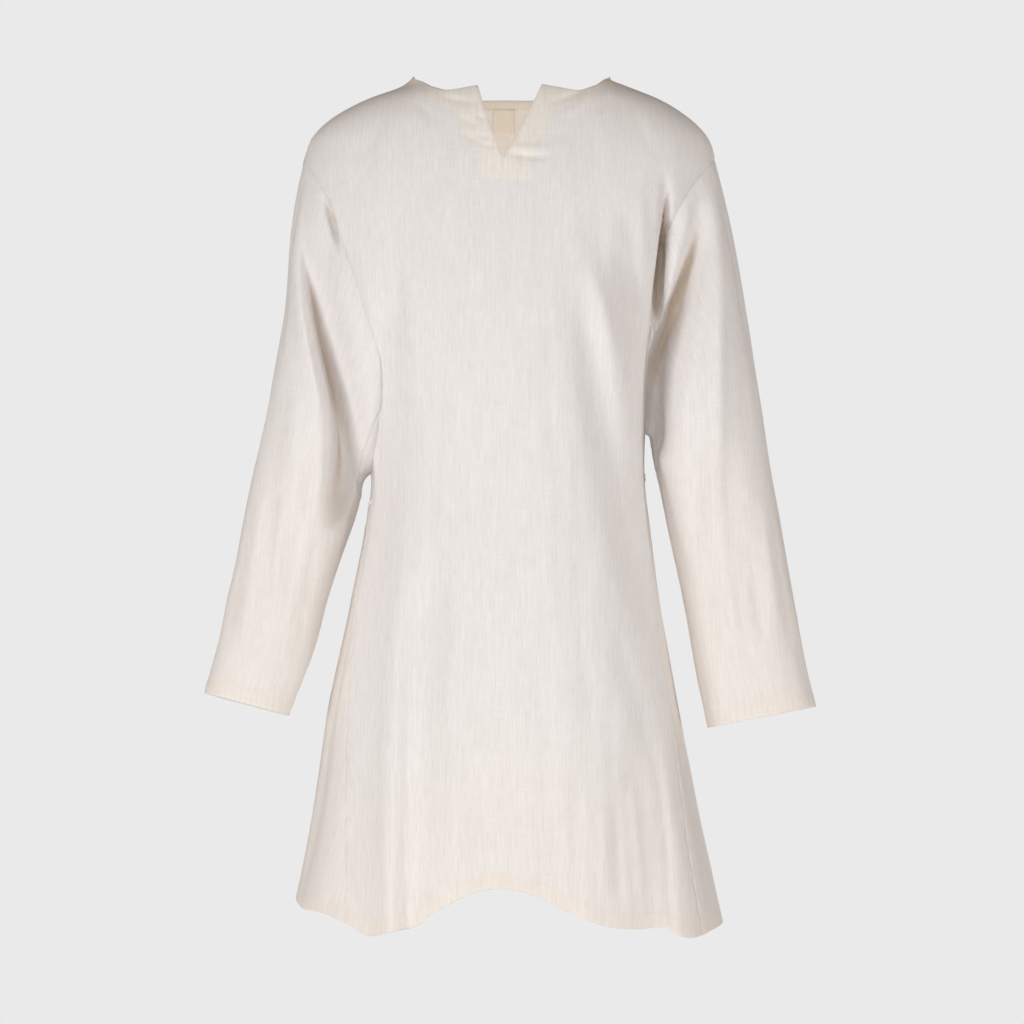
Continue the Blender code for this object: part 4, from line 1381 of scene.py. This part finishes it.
def stage():
    """Camera, plain pale floor and soft light."""
    scene = bpy.context.scene
    scene.view_settings.view_transform = "Standard"
    data = bpy.data.cameras.new("camera")
    data.angle = 2 * math.atan(PIXEL * PICTURE_SIZE / 2 / CAMERA_BACK)
    camera = show("camera", data)
    camera.location = (0.0, -CAMERA_BACK, CAMERA_HEIGHT)
    camera.rotation_euler = (math.pi / 2, 0.0, 0.0)
    bpy.context.scene.camera = camera

    floor = bpy.data.meshes.new("floor")
    turns = np.linspace(0, 2 * np.pi, FLOOR_SIDES, endpoint=False)
    ring = [(FLOOR_RADIUS * math.cos(t), FLOOR_RADIUS * math.sin(t), FLOOR_HEIGHT) for t in turns]
    floor.from_pydata(ring, [], [range(len(ring))])
    pale = Finish("pale floor", 0.0)
    pale.shader.inputs["Base Color"].default_value = (FLOOR_GREY, FLOOR_GREY, FLOOR_GREY, 1.0)
    pale.shader.inputs["Roughness"].default_value = FLOOR_ROUGHNESS
    floor.materials.append(pale.material)
    show("floor", floor)

    scene.world = bpy.data.worlds.new("studio")
    scene.world.use_nodes = True
    tree = scene.world.node_tree
    path = add_node(tree, "ShaderNodeLightPath")
    level = add_node(tree, "ShaderNodeMix", {"data_type": "RGBA"},
                     {0: path.outputs["Is Camera Ray"], 6: (*AMBIENT, 1.0),
                      7: (BACKDROP_GREY, BACKDROP_GREY, BACKDROP_GREY, 1.0)})
    connect(tree, level.outputs[2], tree.nodes["Background"].inputs["Color"])

    for name, (place, aim, size, watts, colour) in LIGHTS.items():
        light = bpy.data.lights.new(name, "AREA")
        light.shape = "RECTANGLE"
        light.size, light.size_y = size
        light.energy = watts
        light.color = colour
        lamp = show(name, light)
        lamp.location = place
        heading = np.array(aim) - np.array(place)
        lamp.rotation_euler = (math.atan2(math.hypot(*heading[:2]), -heading[2]), 0.0,
                               math.atan2(heading[0], -heading[1]) + math.pi)
        lamp.visible_camera = False


def keep_front_facing(patch):
    near_slit = (patch.cell_row < FACING_SLIT_ROWS) & (patch.cell_column < FACING_SLIT_COLUMNS)
    return (patch.piece == "tunic_front") & ((patch.cell_row < FACING_NECK_ROWS) | near_slit)


def keep_back_facing(patch):
    return (patch.piece == "tunic_back") & (patch.cell_row < FACING_NECK_ROWS)


# Flat cut of each piece in metres, as width, length and area, and the pieces that it rests on
CUTS = {
    "tunic_front": (0.52, 1.03, 0.448, "tunic_back"),
    "tunic_back": (0.52, 1.03, 0.428, "tunic_front"),
    "sleeve_right": (0.42, 0.70, 0.207, "tunic_front tunic_back"),
    "sleeve_left": (0.42, 0.70, 0.226, "tunic_front tunic_back"),
    "gusset_right": (0.13, 0.13, 0.0080, "tunic_front sleeve_right"),
    "gusset_left": (0.13, 0.13, 0.0080, "tunic_front sleeve_left"),
    "gore_right": (0.28, 0.54, 0.072, "tunic_front gusset_right"),
    "gore_left": (0.28, 0.54, 0.081, "tunic_front gusset_left"),
    "neck_facing_front": (0.25, 0.13, 0.0118, "tunic_front"),
    "neck_facing_back": (0.24, 0.045, 0.0053, "tunic_back"),
    "neck_label": (0.027, 0.032, 0.00084, "neck_facing_back"),
}


def turn_up_height(node):
    return CUFF_TURN_UP if node.startswith("sleeve") else HEM_TURN_UP


stage()
sewn = Sewn(sewn_patches())
# depth of each point below the cloth around it, which sets the painted shade in the folds
hollow = sewn.hollows()
finishes = {"tunic_front": linen("front linen", LINEN_COLOUR, PANEL_CREAM, show_through=True),
            "tunic": linen("back linen", LINEN_COLOUR, PANEL_CREAM),
            "sleeve": linen("sleeve linen", LINEN_COLOUR, SLEEVE_CREAM),
            "gusset": linen("gusset linen", LINEN_COLOUR),
            "gore": linen("gore linen", LINEN_COLOUR, GORE_CREAM)}
facing_finish = linen("facing linen", FACING_COLOUR)
tape_finish = tape("label tape")
made = {}
panels = [node for node in CUTS if not node.startswith("neck")]
for node in panels:
    shell = Shell(sewn, node, lambda patch: np.full(len(patch.quads), patch.piece == node),
                  LINEN_THICK, seamed=True)
    # the depth that sets the painted shade in the folds
    extra = {"hollow": hollow[shell.used]}
    if node == "tunic_front":
        extra["facing"] = outline_distance(shell.points[:, 0], shell.points[:, 2], FACING_OUTLINE)
    finish = finishes.get(node, finishes[node.split("_")[0]])
    made[node] = shell.build(finish, turn_up_height(node), extra)
facing_in = LINEN_THICK / 2 + LAYER_GAP + FACING_THICK / 2
label_in = facing_in + FACING_THICK / 2 + LAYER_GAP + LABEL_THICK / 2
for node, keep in (("neck_facing_front", keep_front_facing),
                   ("neck_facing_back", keep_back_facing)):
    made[node] = Shell(sewn, node, keep, FACING_THICK, facing_in).build(facing_finish)
label = Sewn([label_patch()])
shell = Shell(label, "neck_label", lambda patch: np.full(len(patch.quads), True), LABEL_THICK,
              label_in)
made["neck_label"] = shell.build(tape_finish)

sewing = stitch_tree(thread("thread"))
with_pieces = {node: [] for node in CUTS}
lift = LINEN_THICK / 2 + TURN_UP_SWELL
for node in panels:
    if node.startswith("gusset"):
        continue
    paths = [path_at(sewn, patch, turn_up_height(node) - STITCH_FROM_FOLD, lift)
             for patch in sewn.patches if patch.piece == node]
    with_pieces[node].append(stitches(node + "_stitches", paths, sewing))
paths = path_inside(label, label.patches[0], -label_in + LABEL_THICK / 2)
with_pieces["neck_label"].append(stitches("neck_label_stitches", paths, sewing,
                                          LABEL_STITCH_STEP, LABEL_STITCH_LENGTH))

for node, piece in made.items():
    for part in [piece] + with_pieces[node]:
        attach(part, "root")
    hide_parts(node)
for node, piece in made.items():
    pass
